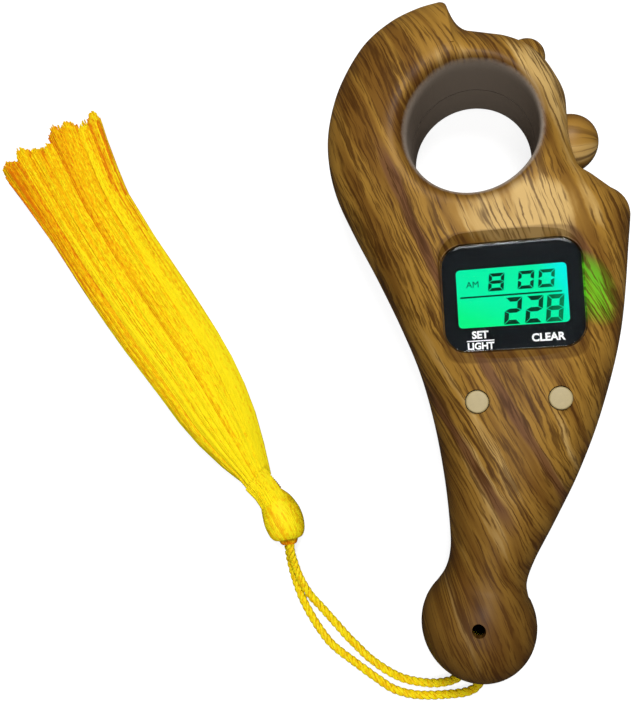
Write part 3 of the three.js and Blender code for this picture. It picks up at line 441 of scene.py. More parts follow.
def carved(form, *steps):
    """The form after boolean steps, each a pair of operation and form, as a mesh in metres."""
    scratch = []

    def laid_out(piece):
        mesh = bpy.data.meshes.new("scratch")
        bmesh.ops.scale(piece, vec=(MM, MM, MM), verts=piece.verts)
        piece.to_mesh(mesh)
        piece.free()
        scratch.append(linked("scratch", mesh))
        return scratch[-1]

    base = laid_out(form)
    for operation, tool in steps:
        modifier = base.modifiers.new(operation, "BOOLEAN")
        modifier.operation = operation
        modifier.solver = "MANIFOLD"
        modifier.object = laid_out(tool)
    mesh = evaluated_mesh(base)
    for piece in scratch:
        bpy.data.meshes.remove(piece.data)
    return mesh


def along_push(form):
    """Puts a form that was made along +Z on the count button's line of push."""
    turn = Matrix.Rotation(COUNT_TURN, 4, "Z") @ Matrix.Rotation(math.pi / 2, 4, "Y")
    return moved(form, Matrix.Translation((RING_HOLE.x, RING_HOLE.y, PARTING)) @ turn)


def along_cord_hole(form):
    """Puts a form that was made along +Z on the line of the cord hole, from the end ball's middle."""
    turn = Matrix.Rotation(CORD_HOLE_TURN, 4, "Z") @ Matrix.Rotation(math.pi / 2 - CORD_HOLE_DROP, 4, "Y")
    return moved(form, Matrix.Translation((END_BALL_X, END_BALL_Y, PARTING)) @ turn)


# Shader helpers
class Term:
    """A shader value. An expression on values adds its Math nodes."""

    def __init__(self, tree, socket):
        self.tree = tree
        self.socket = socket

    def math(self, operation, *others):
        node = self.tree.nodes.new("ShaderNodeMath")
        node.operation = operation
        for slot, value in zip(node.inputs, others):
            if isinstance(value, Term):
                self.tree.links.new(value.socket, slot)
            else:
                slot.default_value = value
        return Term(self.tree, node.outputs[0])

    def __add__(self, other):
        return self.math("ADD", self, other)

    def __radd__(self, other):
        return self.math("ADD", other, self)

    def __sub__(self, other):
        return self.math("SUBTRACT", self, other)

    def __rsub__(self, other):
        return self.math("SUBTRACT", other, self)

    def __mul__(self, other):
        return self.math("MULTIPLY", self, other)

    def __rmul__(self, other):
        return self.math("MULTIPLY", other, self)

    def __truediv__(self, other):
        return self.math("DIVIDE", self, other)

    def __pow__(self, other):
        return self.math("POWER", self, other)

    def sin(self):
        return self.math("SINE", self)

    def angle_to(self, other):
        return self.math("ARCTAN2", self, other)

    def away_from(self, place):
        return self.math("ABSOLUTE", self - place)


class Finish:
    """One material: its Principled surface and the nodes that feed it."""

    def __init__(self, name, **constants):
        self.material = bpy.data.materials.new(name)
        self.material.use_nodes = True
        self.tree = self.material.node_tree
        self.surface = self.tree.nodes["Principled BSDF"]
        for words, value in constants.items():
            self.surface.inputs[words.replace("_", " ").title().replace("Ior", "IOR")].default_value = value

    def node(self, kind, settings=None, inputs=None):
        """Any other node, with its settings first and then its sockets' values or links."""
        node = self.tree.nodes.new("ShaderNode" + kind)
        for key, value in (settings or {}).items():
            setattr(node, key, value)
        for key, value in (inputs or {}).items():
            if isinstance(value, Term):
                self.tree.links.new(value.socket, node.inputs[key])
            else:
                node.inputs[key].default_value = value
        return node

    def term(self, node, output=0):
        return Term(self.tree, node.outputs[output])

    def place(self):
        """The object's own x, y and z, in millimetres."""
        spot = self.term(self.node("TexCoord"), "Object")
        grown = self.node("VectorMath", {"operation": "SCALE"}, {"Vector": spot, "Scale": 1 / MM})
        parts = self.node("SeparateXYZ", None, {"Vector": self.term(grown)})
        return [self.term(parts, i) for i in range(3)]

    def joined(self, x, y, z):
        return self.term(self.node("CombineXYZ", None, {"X": x, "Y": y, "Z": z}))

    def noise(self, vector, scale=1.0, detail=2.0, roughness=0.5):
        inputs = {"Vector": vector, "Scale": scale, "Detail": detail, "Roughness": roughness}
        return self.term(self.node("TexNoise", None, inputs))

    def step(self, value, low, high):
        """Rises softly from 0 at low to 1 at high."""
        inputs = {"Value": value, "From Min": low, "From Max": high}
        return self.term(self.node("MapRange", {"interpolation_type": "SMOOTHSTEP"}, inputs))

    def fall(self, value, low, high):
        """Falls softly from 1 at low to 0 at high."""
        return 1 - self.step(value, low, high)

    def mix(self, share, one, other):
        """A colour between two others. A plain colour is three numbers."""
        node = self.node("Mix", {"data_type": "RGBA"})
        for slot, value in ((0, share), (6, one), (7, other)):
            if isinstance(value, Term):
                self.tree.links.new(value.socket, node.inputs[slot])
            else:
                node.inputs[slot].default_value = (*value, 1) if slot else value
        return self.term(node, 2)

    def feed(self, **sockets):
        """Links values to the surface's sockets."""
        for words, value in sockets.items():
            slot = self.surface.inputs[words.replace("_", " ").title()]
            self.tree.links.new(value.socket, slot)

    def bump(self, height, strength, distance):
        inputs = {"Height": height, "Strength": strength, "Distance": distance}
        self.feed(normal=self.term(self.node("Bump", None, inputs)))


# Wood print
WOOD_PALE = (0.54, 0.35, 0.12)
WOOD_GOLD = (0.315, 0.165, 0.026)
WOOD_OLIVE = (0.165, 0.074, 0.011)
WOOD_RED = (0.115, 0.044, 0.021)
WOOD_DARK = (0.055, 0.019, 0.003)
PLAIN_TAUPE = (0.34, 0.28, 0.225)
SEAM_PAINTED_SHADE_COLOUR = (0.05, 0.04, 0.032)
GLOW_GREEN = (0.07, 0.47, 0.008)
GLOW_PLACE = Vector((17.6, 5.6))
GLOW_REACH_X = 4.9
GLOW_REACH_Y = 6.2
GLOW_SLANT = 2.2
FLOW_SLANT = 0.43
FLOW_SWAY = 1.35
FLOW_SWAY_START = 18
FLOW_SWAY_LENGTH = 15
# Painted shade that darkens the print towards the end ball: full at the first y, none at the second
END_PAINTED_SHADE_FULL_Y = -62
END_PAINTED_SHADE_NONE_Y = -8
END_PAINTED_SHADE_AMOUNT = 0.66
RECESS_PAINTED_SHADE_AMOUNT = 0.5
RIM_PAINTED_SHADE_REACH = (0.8, 2.6)
RIM_PAINTED_SHADE_AMOUNT = 0.55
PLAIN_REACH = (0.3, 1.1)
PLAIN_FUZZ = 0.3
SEAM_PAINTED_SHADE_AMOUNT = 0.7
LINE_BEND = 5
LINE_RIPPLE = 1.2
LINE_JAG = 0.25
STREAK_STRENGTH = 0.75
STREAK_BUMP = 0.12
STREAK_DEPTH = 0.00005
FINE_STREAK_STRENGTH = 0.65
BAND_RIPPLE = 1.5
BAND_FADE = 7
BAND_STRENGTH = 0.8
BALL_LINES = 2.6
# Pale and dark fields of the print; the pale ones are partly a painted sheen
# Each row: middle x and y, reach in x and y, strength
PRINT_FIELDS_WITH_PAINTED_SHEEN = [
    (8, 18.5, 15, 6.5, 1), (-17, 46, 12, 16, -0.9), (-1, -25, 7, 16, 0.6), (12, 34, 10, 18, 0.5),
    (2, 44, 14, 7, 0.4),
]
# Each row: place across the flow, half width, lowest y, highest y
RED_BANDS = [(-1.4, 1.0, -34, 48), (-12.7, 1.1, -26, 4), (23, 1.1, 12, 31)]


def grain(finish, across, along, light=0.0, bands=()):
    """The wood print's colour, the mask of its dark streaks and the mask of its fine ones."""

    def layer(place, wide, long, number, **settings):
        """Noise that is stretched along the flow, with waves so fine across it and along it."""
        return finish.noise(finish.joined(place * wide, along * long, number), **settings)

    bend = layer(across, 0.05, 0.03, 0, detail=1) - 0.5
    ripple = layer(across, 0.4, 0.14, 3, detail=1) - 0.5
    jag = layer(across, 1.5, 1.1, 9, detail=1) - 0.5
    line = across + bend * LINE_BEND + ripple * LINE_RIPPLE + jag * LINE_JAG
    field = layer(line, 0.3, 0.03, 0, detail=3)
    zone = layer(line, 0.16, 0.05, 3, detail=2) - 0.5
    vein = layer(line, 0.9, 0.035, 1, detail=1, roughness=0.4)
    breaks = layer(line, 1.3, 0.14, 7, detail=1)
    hair = layer(line, 2.6, 0.17, 5, detail=2)
    tone = finish.mix(finish.step(field + light * 0.1, 0.36, 0.58), WOOD_OLIVE, WOOD_GOLD)
    tone = finish.mix(finish.step(field + light * 0.24, 0.6, 0.8), tone, WOOD_PALE)
    for place, half, low, high in bands:
        near = finish.fall((across + ripple * BAND_RIPPLE).away_from(place), half * 0.5, half * 1.4)
        spread = finish.step(along, low, low + BAND_FADE) * finish.fall(along, high - BAND_FADE, high)
        tone = finish.mix(near * spread * BAND_STRENGTH, tone, WOOD_RED)
    crowd = zone * 0.5 - light * 0.05
    dark = finish.fall(vein.away_from(0.5), 0.008, 0.06) * finish.step(breaks + crowd, 0.38, 0.52)
    tone = finish.mix(dark * STREAK_STRENGTH, tone, WOOD_DARK)
    fine = finish.step(hair + crowd, 0.5, 0.64)
    tone = finish.mix(fine * FINE_STREAK_STRENGTH, tone, WOOD_DARK)
    return tone, dark, fine


def field_tone_with_painted_sheen(finish, x, y):
    """How much paler the print is than elsewhere; the paleness is partly a painted sheen. Below zero it is
    darker.
    """
    light = 0.0
    for middle_x, middle_y, reach_x, reach_y, strength in PRINT_FIELDS_WITH_PAINTED_SHEEN:
        away_x = (x - middle_x) / reach_x
        away_y = (y - middle_y) / reach_y
        light = finish.fall(away_x * away_x + away_y * away_y, 0.1, 1.2) * strength + light
    return light


def recess_painted_shade_mask(finish, x, y, z):
    """The mask of the painted shade on the slope round the window."""
    slope_x = x.away_from(WINDOW.x) / (WINDOW_WIDTH / 2 + RECESS_SIDE_MARGIN)
    slope_y = y.away_from(WINDOW.y) / (WINDOW_HEIGHT / 2 + RECESS_MARGIN)
    in_front = finish.step(z, PARTING, PARTING + 2)
    return finish.fall(slope_x ** 7 + slope_y ** 7, 0.8, 1.1) * in_front


def stray_glow(finish, x, y, z):
    """The mask of the display's light on the wood beside it."""
    glow_x = (x - GLOW_PLACE.x) / GLOW_REACH_X
    glow_y = (y - GLOW_PLACE.y + glow_x * GLOW_SLANT) / GLOW_REACH_Y
    in_front = finish.step(z, PARTING + 2, PARTING + 7)
    return finish.fall(glow_x * glow_x + glow_y * glow_y, 0, 1) * in_front


def lined_hole(finish, tone, x, y, z):
    """The print's colour with painted shade on the rim, plain plastic, and painted shade along the seam in
    the finger hole.
    """
    from_x = x - RING_HOLE.x
    from_y = y - RING_HOLE.y
    beyond = (from_x * from_x + from_y * from_y) ** 0.5 - RING_HOLE_RADIUS
    # Painted shade where the rim rolls into the finger hole
    rim = finish.fall(beyond, *RIM_PAINTED_SHADE_REACH)
    tone = finish.mix(rim * RIM_PAINTED_SHADE_AMOUNT, tone, WOOD_DARK)
    fuzz = finish.noise(finish.joined(x, y, z), scale=1.6) * PLAIN_FUZZ
    plain = finish.fall(beyond + fuzz, *PLAIN_REACH)
    tone = finish.mix(plain, tone, PLAIN_TAUPE)
    # Painted shade along the seam between the shells, on the finger hole's wall
    seam = finish.fall(z.away_from(PARTING), SEAM_GROOVE, SEAM_GROOVE * 2.5)
    return finish.mix(seam * plain * SEAM_PAINTED_SHADE_AMOUNT, tone, SEAM_PAINTED_SHADE_COLOUR)


def housing_print():
    """Wood print over the housing, plain plastic in the finger hole, the display's stray light, and painted
    shade.
    """
    finish = Finish("wood_print", roughness=0.5, specular_ior_level=0.13, emission_strength=1.0)
    x, y, z = finish.place()
    across = x + y * FLOW_SLANT + ((y + FLOW_SWAY_START) / FLOW_SWAY_LENGTH).sin() * FLOW_SWAY
    tone, dark, fine = grain(finish, across, y + z * 0.5, field_tone_with_painted_sheen(finish, x, y), RED_BANDS)
    # Painted shade, darker towards the end ball
    tone = finish.mix(finish.fall(y, END_PAINTED_SHADE_FULL_Y, END_PAINTED_SHADE_NONE_Y) * END_PAINTED_SHADE_AMOUNT, tone, WOOD_DARK)
    # Painted shade on the slope of the window's recess
    tone = finish.mix(recess_painted_shade_mask(finish, x, y, z) * RECESS_PAINTED_SHADE_AMOUNT, tone, WOOD_DARK)
    tone = lined_hole(finish, tone, x, y, z)
    glow = stray_glow(finish, x, y, z) * (1 - fine * 0.8) * (1 - dark * 0.6)
    tone = finish.mix(glow * 0.6, tone, (0, 0, 0))
    finish.feed(base_color=tone, emission_color=finish.mix(glow, (0, 0, 0), GLOW_GREEN))
    finish.bump(dark, STREAK_BUMP, STREAK_DEPTH)
    return finish.material


def knob_print():
    """Wood print whose lines run out over the count button's ball."""
    finish = Finish("wood_print_knob", roughness=0.5, specular_ior_level=0.25)
    x, y, z = finish.place()
    across = (z - PARTING).angle_to(y - RING_HOLE.y - x * math.tan(COUNT_TURN)) * BALL_LINES
    tone, dark, _ = grain(finish, across, x * 0.3, 0.6)
    finish.feed(base_color=tone)
    finish.bump(dark, STREAK_BUMP, STREAK_DEPTH)
    return finish.material


def darkened(colour, share):
    """A colour with a share of its brightness."""
    return tuple(part * share for part in colour)


def moulded(name, colour, roughness):
    """Moulded plastic with a faint grain."""
    finish = Finish(name, roughness=roughness)
    grit = finish.noise(finish.joined(*finish.place()), scale=1.2, detail=4)
    finish.feed(base_color=finish.mix(grit, colour, darkened(colour, 0.82)))
    finish.bump(grit, 0.08, 0.00003)
    return finish.material


def metal(name, colour, roughness):
    """Plated metal with fine drawn marks."""
    finish = Finish(name, metallic=1.0)
    x, y, z = finish.place()
    marks = finish.noise(finish.joined(x * 0.9, y * 6, z * 6), detail=3)
    finish.feed(
        base_color=finish.mix(marks, colour, darkened(colour, 0.8)),
        roughness=marks * 0.18 + (roughness - 0.09),
    )
    return finish.material


def window_clear():
    finish = Finish(
        "window_clear", base_color=(1, 1, 1, 1), roughness=0.03, ior=1.49, transmission_weight=1.0,
    )
    return finish.material


FLAT_FILM = {"roughness": 0.6, "specular_ior_level": 0.0}


def mask_black():
    finish = Finish("mask_black", **FLAT_FILM)
    cloud = finish.noise(finish.joined(*finish.place()), scale=0.2)
    finish.feed(base_color=finish.mix(cloud, (0.006, 0.009, 0.011), (0.012, 0.016, 0.019)))
    return finish.material


LCD_GREEN = (0.0, 0.92, 0.4)
LCD_LIME = (0.0, 0.94, 0.24)
LCD_CYAN = (0.0, 0.93, 0.86)


def lcd_lit():
    """The display's backlit field: green, limier at its lower left and cyan towards its right edge."""
    finish = Finish("lcd_lit", base_color=(0, 0.05, 0.02, 1), emission_strength=1.0, **FLAT_FILM)
    x, y, _ = finish.place()
    right = (x - WINDOW.x) / (LCD_VIEW_WIDTH / 2)
    height = (y - WINDOW.y) / (LCD_VIEW_HEIGHT / 2)
    cyan = finish.step(right + height * 0.25, 0.6, 1.25)
    lime = finish.step(0 - height - right * 0.7, 0.2, 1.5)
    tone = finish.mix(lime, LCD_GREEN, LCD_LIME)
    tone = finish.mix(cyan, tone, LCD_CYAN)
    finish.feed(emission_color=tone)
    return finish.material


def lcd_dark():
    """The display's dark segments, paler towards the display's right edge."""
    finish = Finish("lcd_dark", base_color=(0, 0.01, 0.005, 1), emission_strength=1.0, **FLAT_FILM)
    x, _, _ = finish.place()
    thin = finish.step(x, WINDOW.x + 3.5, WINDOW.x + 9)
    finish.feed(emission_color=finish.mix(thin, (0, 0.03, 0.012), (0, 0.22, 0.08)))
    return finish.material


def white_print_painted_glow():
    # Painted glow: the white print gives off a faint light of its own
    finish = Finish("white_print_painted_glow", emission_strength=0.45, **FLAT_FILM)
    wear = finish.noise(finish.joined(*finish.place()), scale=3)
    white = finish.mix(wear, (0.95, 0.95, 0.95), (0.8, 0.8, 0.8))
    finish.feed(base_color=white, emission_color=white)
    return finish.material


THREAD_BRIGHT = (0.88, 0.72, 0.008)
THREAD_GOLD = (0.82, 0.47, 0.002)
THREAD_ORANGE = (0.68, 0.2, 0.001)


def thread_yellow():
    """Silky thread. Its shade comes from each thread's own attribute, which also holds painted shade in the
    tassel's grooves, neck and foot.
    """
    finish = Finish("thread_yellow", roughness=0.55, specular_ior_level=0.1)
    shade = finish.term(finish.node("Attribute", {"attribute_name": "shade"}), "Fac")
    x, y, z = finish.place()
    along = y * math.sin(SKIRT_TURN) + x * math.cos(SKIRT_TURN)
    side = x * math.sin(SKIRT_TURN) - y * math.cos(SKIRT_TURN)
    crinkle = finish.noise(finish.joined(along * 0.9, side * 2.6, z * 2.6), detail=2)
    level = shade + (crinkle - 0.5) * 1.6
    tone = finish.mix(finish.step(level, 0.15, 0.6), THREAD_BRIGHT, THREAD_GOLD)
    tone = finish.mix(finish.step(level, 0.65, 1.1), tone, THREAD_ORANGE)
    finish.feed(base_color=tone)
    finish.bump(crinkle, 0.5, 0.0003)
    return finish.material


def set_shade(mesh, shades):
    """Writes a shade for each vertex."""
    attribute = mesh.attributes.new("shade", "FLOAT", "POINT")
    attribute.data.foreach_set("value", shades)


# Cords
def frames_along(line):
    """For each point of a line: its place, its distance along, and two directions across the line."""
    across = (line[1] - line[0]).orthogonal().normalized()
    walked = 0
    made = []
    for i, point in enumerate(line):
        ahead = (line[min(i + 1, len(line) - 1)] - line[max(i - 1, 0)]).normalized()
        across = (across - ahead * across.dot(ahead)).normalized()
        walked += (point - line[i - 1]).length if i else 0
        made.append((point, walked, across, ahead.cross(across)))
    return made


def tubes(name, lines, shades, radius, sides=0):
    """One mesh in metres of round tubes along lines of points in millimetres, each point with a shade."""
    curve = bpy.data.curves.new(name, "CURVE")
    curve.dimensions = "3D"
    curve.bevel_depth = radius * MM
    curve.bevel_resolution = sides
    for line in lines:
        spline = curve.splines.new("POLY")
        spline.points.add(len(line) - 1)
        for spot, point in zip(spline.points, line):
            spot.co = (*(point * MM), 1)
    maker = linked(name, curve)
    mesh = evaluated_mesh(maker)
    bpy.data.objects.remove(maker)
    bpy.data.curves.remove(curve)
    ring = len(mesh.vertices) // len(shades)
    set_shade(mesh, [shade for shade in shades for _ in range(ring)])
    form = bmesh.new()
    form.from_mesh(mesh)
    ends = [edge for edge in form.edges if edge.is_boundary]
    bmesh.ops.holes_fill(form, edges=ends, sides=ring)
    form.to_mesh(mesh)
    form.free()
    return mesh


CORD_STEPS = 12
CORD_SHADE = 0.32


def make_cord(name, material):
    """One stretch of the cord: plies twisted round its route."""
    line = smooth_line([Vector(point) for point in CORD_ROUTES[name]], CORD_STEPS)
    spots = frames_along(line)
    ply_radius = CORD_RADIUS / 2
    plies = []
    for ply in range(CORD_PLIES):
        points = []
        for point, walked, across, side in spots:
            turn = walked / CORD_PITCH * math.tau + ply / CORD_PLIES * math.tau
            swing = across * math.cos(turn) + side * math.sin(turn)
            points.append(point + swing * (CORD_RADIUS - ply_radius))
        plies.append(points)
    mesh = tubes(name, plies, [CORD_SHADE] * len(spots) * CORD_PLIES, ply_radius, sides=2)
    piece = finished(name + "_twist", mesh, material, replaces=[name])
    length = spots[-1][1]
    length * MM
    [point * MM for point in line]
    print(name, "length", round(length, 1), "mm")


# Tassel
HEAD_THREADS = 64
HEAD_SIDES = 256
HEAD_TWIST = 5
HEAD_RIDGE_SHARE = 0.055
HEAD_CURVE_STEPS = 4
HEAD_SHADES = (-0.1, 0.5)
HEAD_GROOVE_PAINTED_SHADE = 0.3
NECK_PAINTED_SHADE = 0.6
NECK_PAINTED_SHADE_SHARE = 0.75
FOOT_PAINTED_SHADE = 8
FOOT_PAINTED_SHADE_SHARE = 0.03
OVER_THREADS = 130
OVER_THREAD_STEPS = 8
OVER_THREAD_START_SHARE = 0.83
OVER_THREAD_LENGTH_SHARE = 0.59
OVER_THREAD_TWIST = 0.2
OVER_THREAD_LIFT = 0.5
OVER_THREAD_TURNS = (math.pi / 2 - 0.95, math.pi / 2 + 1.1)
OVER_THREAD_RISES = (0.1, 0.35)
OVER_THREAD_REACH_SHARES = (0.95, 1.05)
OVER_THREAD_SHADES = (-0.1, 0.4)
BINDING_TURNS = 8
BINDING_STEPS = 26
BINDING_START_SHARE = 0.98
BINDING_LENGTH = 3.2
BINDING_RADIUS = 0.22
BINDING_SHADE = 0.75
LOCKS = 22
LOCK_WIDTH_SHARE = 0.15
LOCK_WIDTH_LEAST = 0.1
LOCK_DEPTH_SHARE = 0.3
LOCK_TAPER_SHARE = 0.025
LOCK_EDGE_PAINTED_SHADE = 0.7
LOCK_SPREAD_SHARES = (0.3, 0.7)
LOCK_REACH_SHARES = (0.965, 1.005)
LOCK_SHADES = (-0.1, 0.35)
SKIRT_STEPS = 14
SKIRT_OVERLAP = 0.5
THREAD_RADIUS = 0.16
THREAD_SWAY = 0.16
THREAD_SWAY_WAVES = 11
THREAD_SWAY_SHIFT = 5
THREAD_END_SHARES = (-0.012, 0.004)
THREAD_SHADES = (-0.2, 0.3)
ROOT_SHADE = -0.15
END_SHADE = 0.6
UPPER_THREADS = 1450
LOWER_THREADS = 800
LAYER_OVERLAP = 0.1
COVER_SHARE = -0.045
COVER_SIDE = 0.5
CORE_SIDES = 48
CORE_THICKNESS_SHARE = 0.8
CORE_RING_SHARES = (0.01, 0.05, 0.1, 0.2, 0.3, 0.45, 0.6, 0.75, 0.9)
CORE_SHADE = 0.9


def laid(turn, foot):
    """From a form made along +Z to one that lies level, pointing along a turn, with its +Y up."""
    level = Matrix.Rotation(turn + math.pi / 2, 4, "Z") @ Matrix.Rotation(math.pi / 2, 4, "X")
    return Matrix.Translation(foot) @ level


def on_head(radius, turn, along):
    """A place round the head's bent middle line, at a distance from its foot."""
    length = HEAD_LENGTH + NECK_LENGTH
    t = along / length
    start = HEAD_FOOT.xy
    end = start + length * Vector((math.cos(HEAD_TURN), math.sin(HEAD_TURN)))
    pull = (start + end) / 2 + HEAD_BOW * Vector((math.sin(HEAD_TURN), -math.cos(HEAD_TURN)))
    spot = drawn(start, pull, end, t)
    ahead = ((pull - start) * (1 - t) + (end - pull) * t).normalized()
    across = radius * math.cos(turn)
    height = HEAD_FOOT.z + radius * math.sin(turn)
    return Vector((spot.x - ahead.y * across, spot.y + ahead.x * across, height))


def head_painted_shade(along):
    """How much painted shade darkens the head's threads towards the neck and at the foot."""
    neck = clamp(along - NECK_PAINTED_SHADE_SHARE, 0, 0.4)
    foot = clamp(FOOT_PAINTED_SHADE_SHARE - along, 0, 0.1)
    return NECK_PAINTED_SHADE * neck + FOOT_PAINTED_SHADE * foot


def tassel_head(material):
    """The tassel's bulb of threads laid over it lengthwise, down into its neck."""
    rng = random.Random(11)
    thread_shades = [rng.uniform(*HEAD_SHADES) for _ in range(HEAD_THREADS + 2 * HEAD_TWIST)]
    rings = []
    shades = []
    for wide, along in smooth_line([Vector(row) for row in HEAD_SHARES], HEAD_CURVE_STEPS):
        ring = []
        ring_shades = []
        for share in spaced(0, 1, HEAD_SIDES)[:-1]:
            cell = share * HEAD_THREADS + max(along, 0) * HEAD_TWIST
            ridge = abs(math.sin(cell * math.pi)) - 1
            radius = HEAD_RADIUS * wide * (1 + ridge * HEAD_RIDGE_SHARE)
            ring.append(on_head(radius, share * math.tau, HEAD_LENGTH * along))
            # Painted shade in the grooves between the bulb's threads, towards its neck and under its foot
            ring_shades.append(thread_shades[int(cell)] - HEAD_GROOVE_PAINTED_SHADE * ridge + head_painted_shade(along))
        rings.append(ring)
        shades.append(ring_shades)
    return finished(
        "tassel_bulb", loft(rings, shades=shades), material, replaces=["tassel_head"],
        sharp=SOFT_EDGE,
    )


def tassel_binding(material):
    """The turns of thread that bind the tassel's neck."""
    line = []
    for i in range(BINDING_TURNS * BINDING_STEPS + 1):
        along = HEAD_LENGTH * BINDING_START_SHARE + BINDING_LENGTH * i / (BINDING_TURNS * BINDING_STEPS)
        line.append(on_head(NECK_RADIUS, i / BINDING_STEPS * math.tau, along))
    mesh = tubes("tassel_binding", [line], [BINDING_SHADE] * len(line), BINDING_RADIUS, sides=1)
    finished("tassel_binding", mesh, material)


def tassel_over_threads(material):
    """The loose threads that lie over the binding, from the bulb into the skirt."""
    rng = random.Random(4)
    lines = []
    for _ in range(OVER_THREADS):
        turn = rng.uniform(*OVER_THREAD_TURNS)
        rise = NECK_RADIUS + BINDING_RADIUS + rng.uniform(*OVER_THREAD_RISES)
        reach = OVER_THREAD_LENGTH_SHARE * rng.uniform(*OVER_THREAD_REACH_SHARES)
        line = []
        for share in spaced(0, 1, OVER_THREAD_STEPS):
            radius = rise + OVER_THREAD_LIFT * max(share - 0.5, 0)
            along = HEAD_LENGTH * (OVER_THREAD_START_SHARE + reach * share)
            line.append(on_head(radius, turn + OVER_THREAD_TWIST * share, along))
        lines.append(line)
    shades = [rng.uniform(*OVER_THREAD_SHADES) for line in lines for _ in line]
    mesh = tubes("tassel_over_threads", lines, shades, THREAD_RADIUS)
    finished("tassel_over_threads", mesh, material, sharp=SOFT_EDGE)


def skirt_section(along):
    """The skirt's sideways offset, half width and half depth at a share of its length."""
    low = row_below(SKIRT_SHARES, max(along, 0))
    start, end = SKIRT_SHARES[low], SKIRT_SHARES[low + 1]
    t = max((along - start[0]) / (end[0] - start[0]), 0)
    sideways, half, deep = (a + (b - a) * t for a, b in zip(start[1:], end[1:]))
    return -sideways * SKIRT_OFFSET, SKIRT_HALF_WIDTH * half, SKIRT_HALF_DEPTH * deep


def skirt_point(along, turn, sideways, outwards):
    """A thread's place in its lock, at a share of the skirt's length."""
    offset, half, deep = skirt_section(along)
    lock_width = half * LOCK_WIDTH_SHARE + LOCK_WIDTH_LEAST
    lock_depth = deep * LOCK_DEPTH_SHARE
    out = Vector((math.cos(turn) / half, math.sin(turn) / deep)).normalized()
    side = Vector((-out.y, out.x))
    middle = Vector(((half - lock_depth) * math.cos(turn), (deep - lock_depth) * math.sin(turn)))
    at = middle + side * (sideways * lock_width) + out * (outwards * lock_depth)
    return Vector((offset + at.x, max(deep + at.y, THREAD_RADIUS), SKIRT_LENGTH * along))


def skirt_placing():
    """From a skirt made along +Z to its place behind the neck."""
    away = HEAD_LENGTH + NECK_LENGTH - SKIRT_OVERLAP
    start = HEAD_FOOT.xy + Vector((math.cos(HEAD_TURN), math.sin(HEAD_TURN))) * away
    return laid(SKIRT_TURN, (start.x, start.y, 0))


def tassel_threads(name, count, locks, rng, material, replaces=()):
    """Loose threads of the tassel, gathered in locks that end in uneven points."""
    to_place = skirt_placing()
    lines = []
    shades = []
    for _ in range(count):
        turn, reach, lock_shade = rng.choice(locks)
        sideways = rng.uniform(-1, 1)
        outwards = math.sqrt(1 - sideways ** 2) * rng.uniform(0, 1)
        end = reach - LOCK_TAPER_SHARE * abs(sideways) ** 1.5 + rng.uniform(*THREAD_END_SHARES)
        start = COVER_SHARE if math.sin(turn) > COVER_SIDE else 0
        sway = rng.uniform(-THREAD_SWAY, THREAD_SWAY)
        # Painted shade: threads at a lock's edges, in the grooves between locks, are darker
        tone = lock_shade + LOCK_EDGE_PAINTED_SHADE * abs(sideways) ** 3 + rng.uniform(*THREAD_SHADES)
        line = []
        for along in spaced(start, end, SKIRT_STEPS):
            drift = sideways + sway * math.sin(along * THREAD_SWAY_WAVES + turn * THREAD_SWAY_SHIFT)
            line.append(to_place @ skirt_point(along, turn, drift, outwards))
            shades.append(tone + ROOT_SHADE + END_SHADE * along)
        lines.append(line)
    mesh = tubes(name, lines, shades, THREAD_RADIUS)
    finished(name, mesh, material, replaces=replaces, sharp=SOFT_EDGE)


def tassel_skirt(material):
    """The tassel's loose threads: an upper layer and a lower one."""
    rng = random.Random(5)
    locks = []
    for i in range(LOCKS):
        turn = (i + rng.uniform(*LOCK_SPREAD_SHARES)) / LOCKS * math.tau
        slant = SKIRT_SLANT_SHARE * ((1 - math.cos(turn)) / 2) ** 2
        locks.append((turn, rng.uniform(*LOCK_REACH_SHARES) - slant, rng.uniform(*LOCK_SHADES)))
    upper = [lock for lock in locks if math.sin(lock[0]) > -LAYER_OVERLAP]
    lower = [lock for lock in locks if math.sin(lock[0]) <= LAYER_OVERLAP]
    tassel_threads("tassel_threads_upper", UPPER_THREADS, upper, rng, material, ["tassel_skirt"])
    tassel_threads("tassel_threads_lower", LOWER_THREADS, lower, rng, material)


def tassel_core(material):
    """The dense middle of the tassel, behind its loose threads."""
    to_place = skirt_placing()
    rings = []
    for along in CORE_RING_SHARES:
        offset, half, deep = skirt_section(along)
        ring = []
        for turn in spaced(0, math.tau, CORE_SIDES)[:-1]:
            across = offset + half * CORE_THICKNESS_SHARE * math.cos(turn)
            height = deep + deep * CORE_THICKNESS_SHARE * math.sin(turn)
            ring.append(to_place @ Vector((across, height, SKIRT_LENGTH * along)))
        rings.append(ring)
    shades = [[CORE_SHADE] * CORE_SIDES] * len(rings)
    finished("tassel_core", loft(rings, shades=shades), material, sharp=SOFT_EDGE)


# Housing
def flowing(shares, steps):
    """A smooth curve through places."""
    return smooth_line([on_body(share) for share in shares], steps)


def bend(start, pull, end, steps):
    """A curve from start to end that is drawn towards a place."""
    return [drawn(on_body(start), on_body(pull), on_body(end), t) for t in spaced(0, 1, steps)]


def sweep(start, pull, pull_end, end, steps):
    """A curve from start to end that is drawn towards two places."""
    start, pull, pull_end, end = (on_body(share) for share in (start, pull, pull_end, end))
    made = []
    for t in spaced(0, 1, steps):
        rest = 1 - t
        near = start * rest ** 3 + pull * (3 * t * rest * rest)
        made.append(near + pull_end * (3 * t * t * rest) + end * t ** 3)
    return made


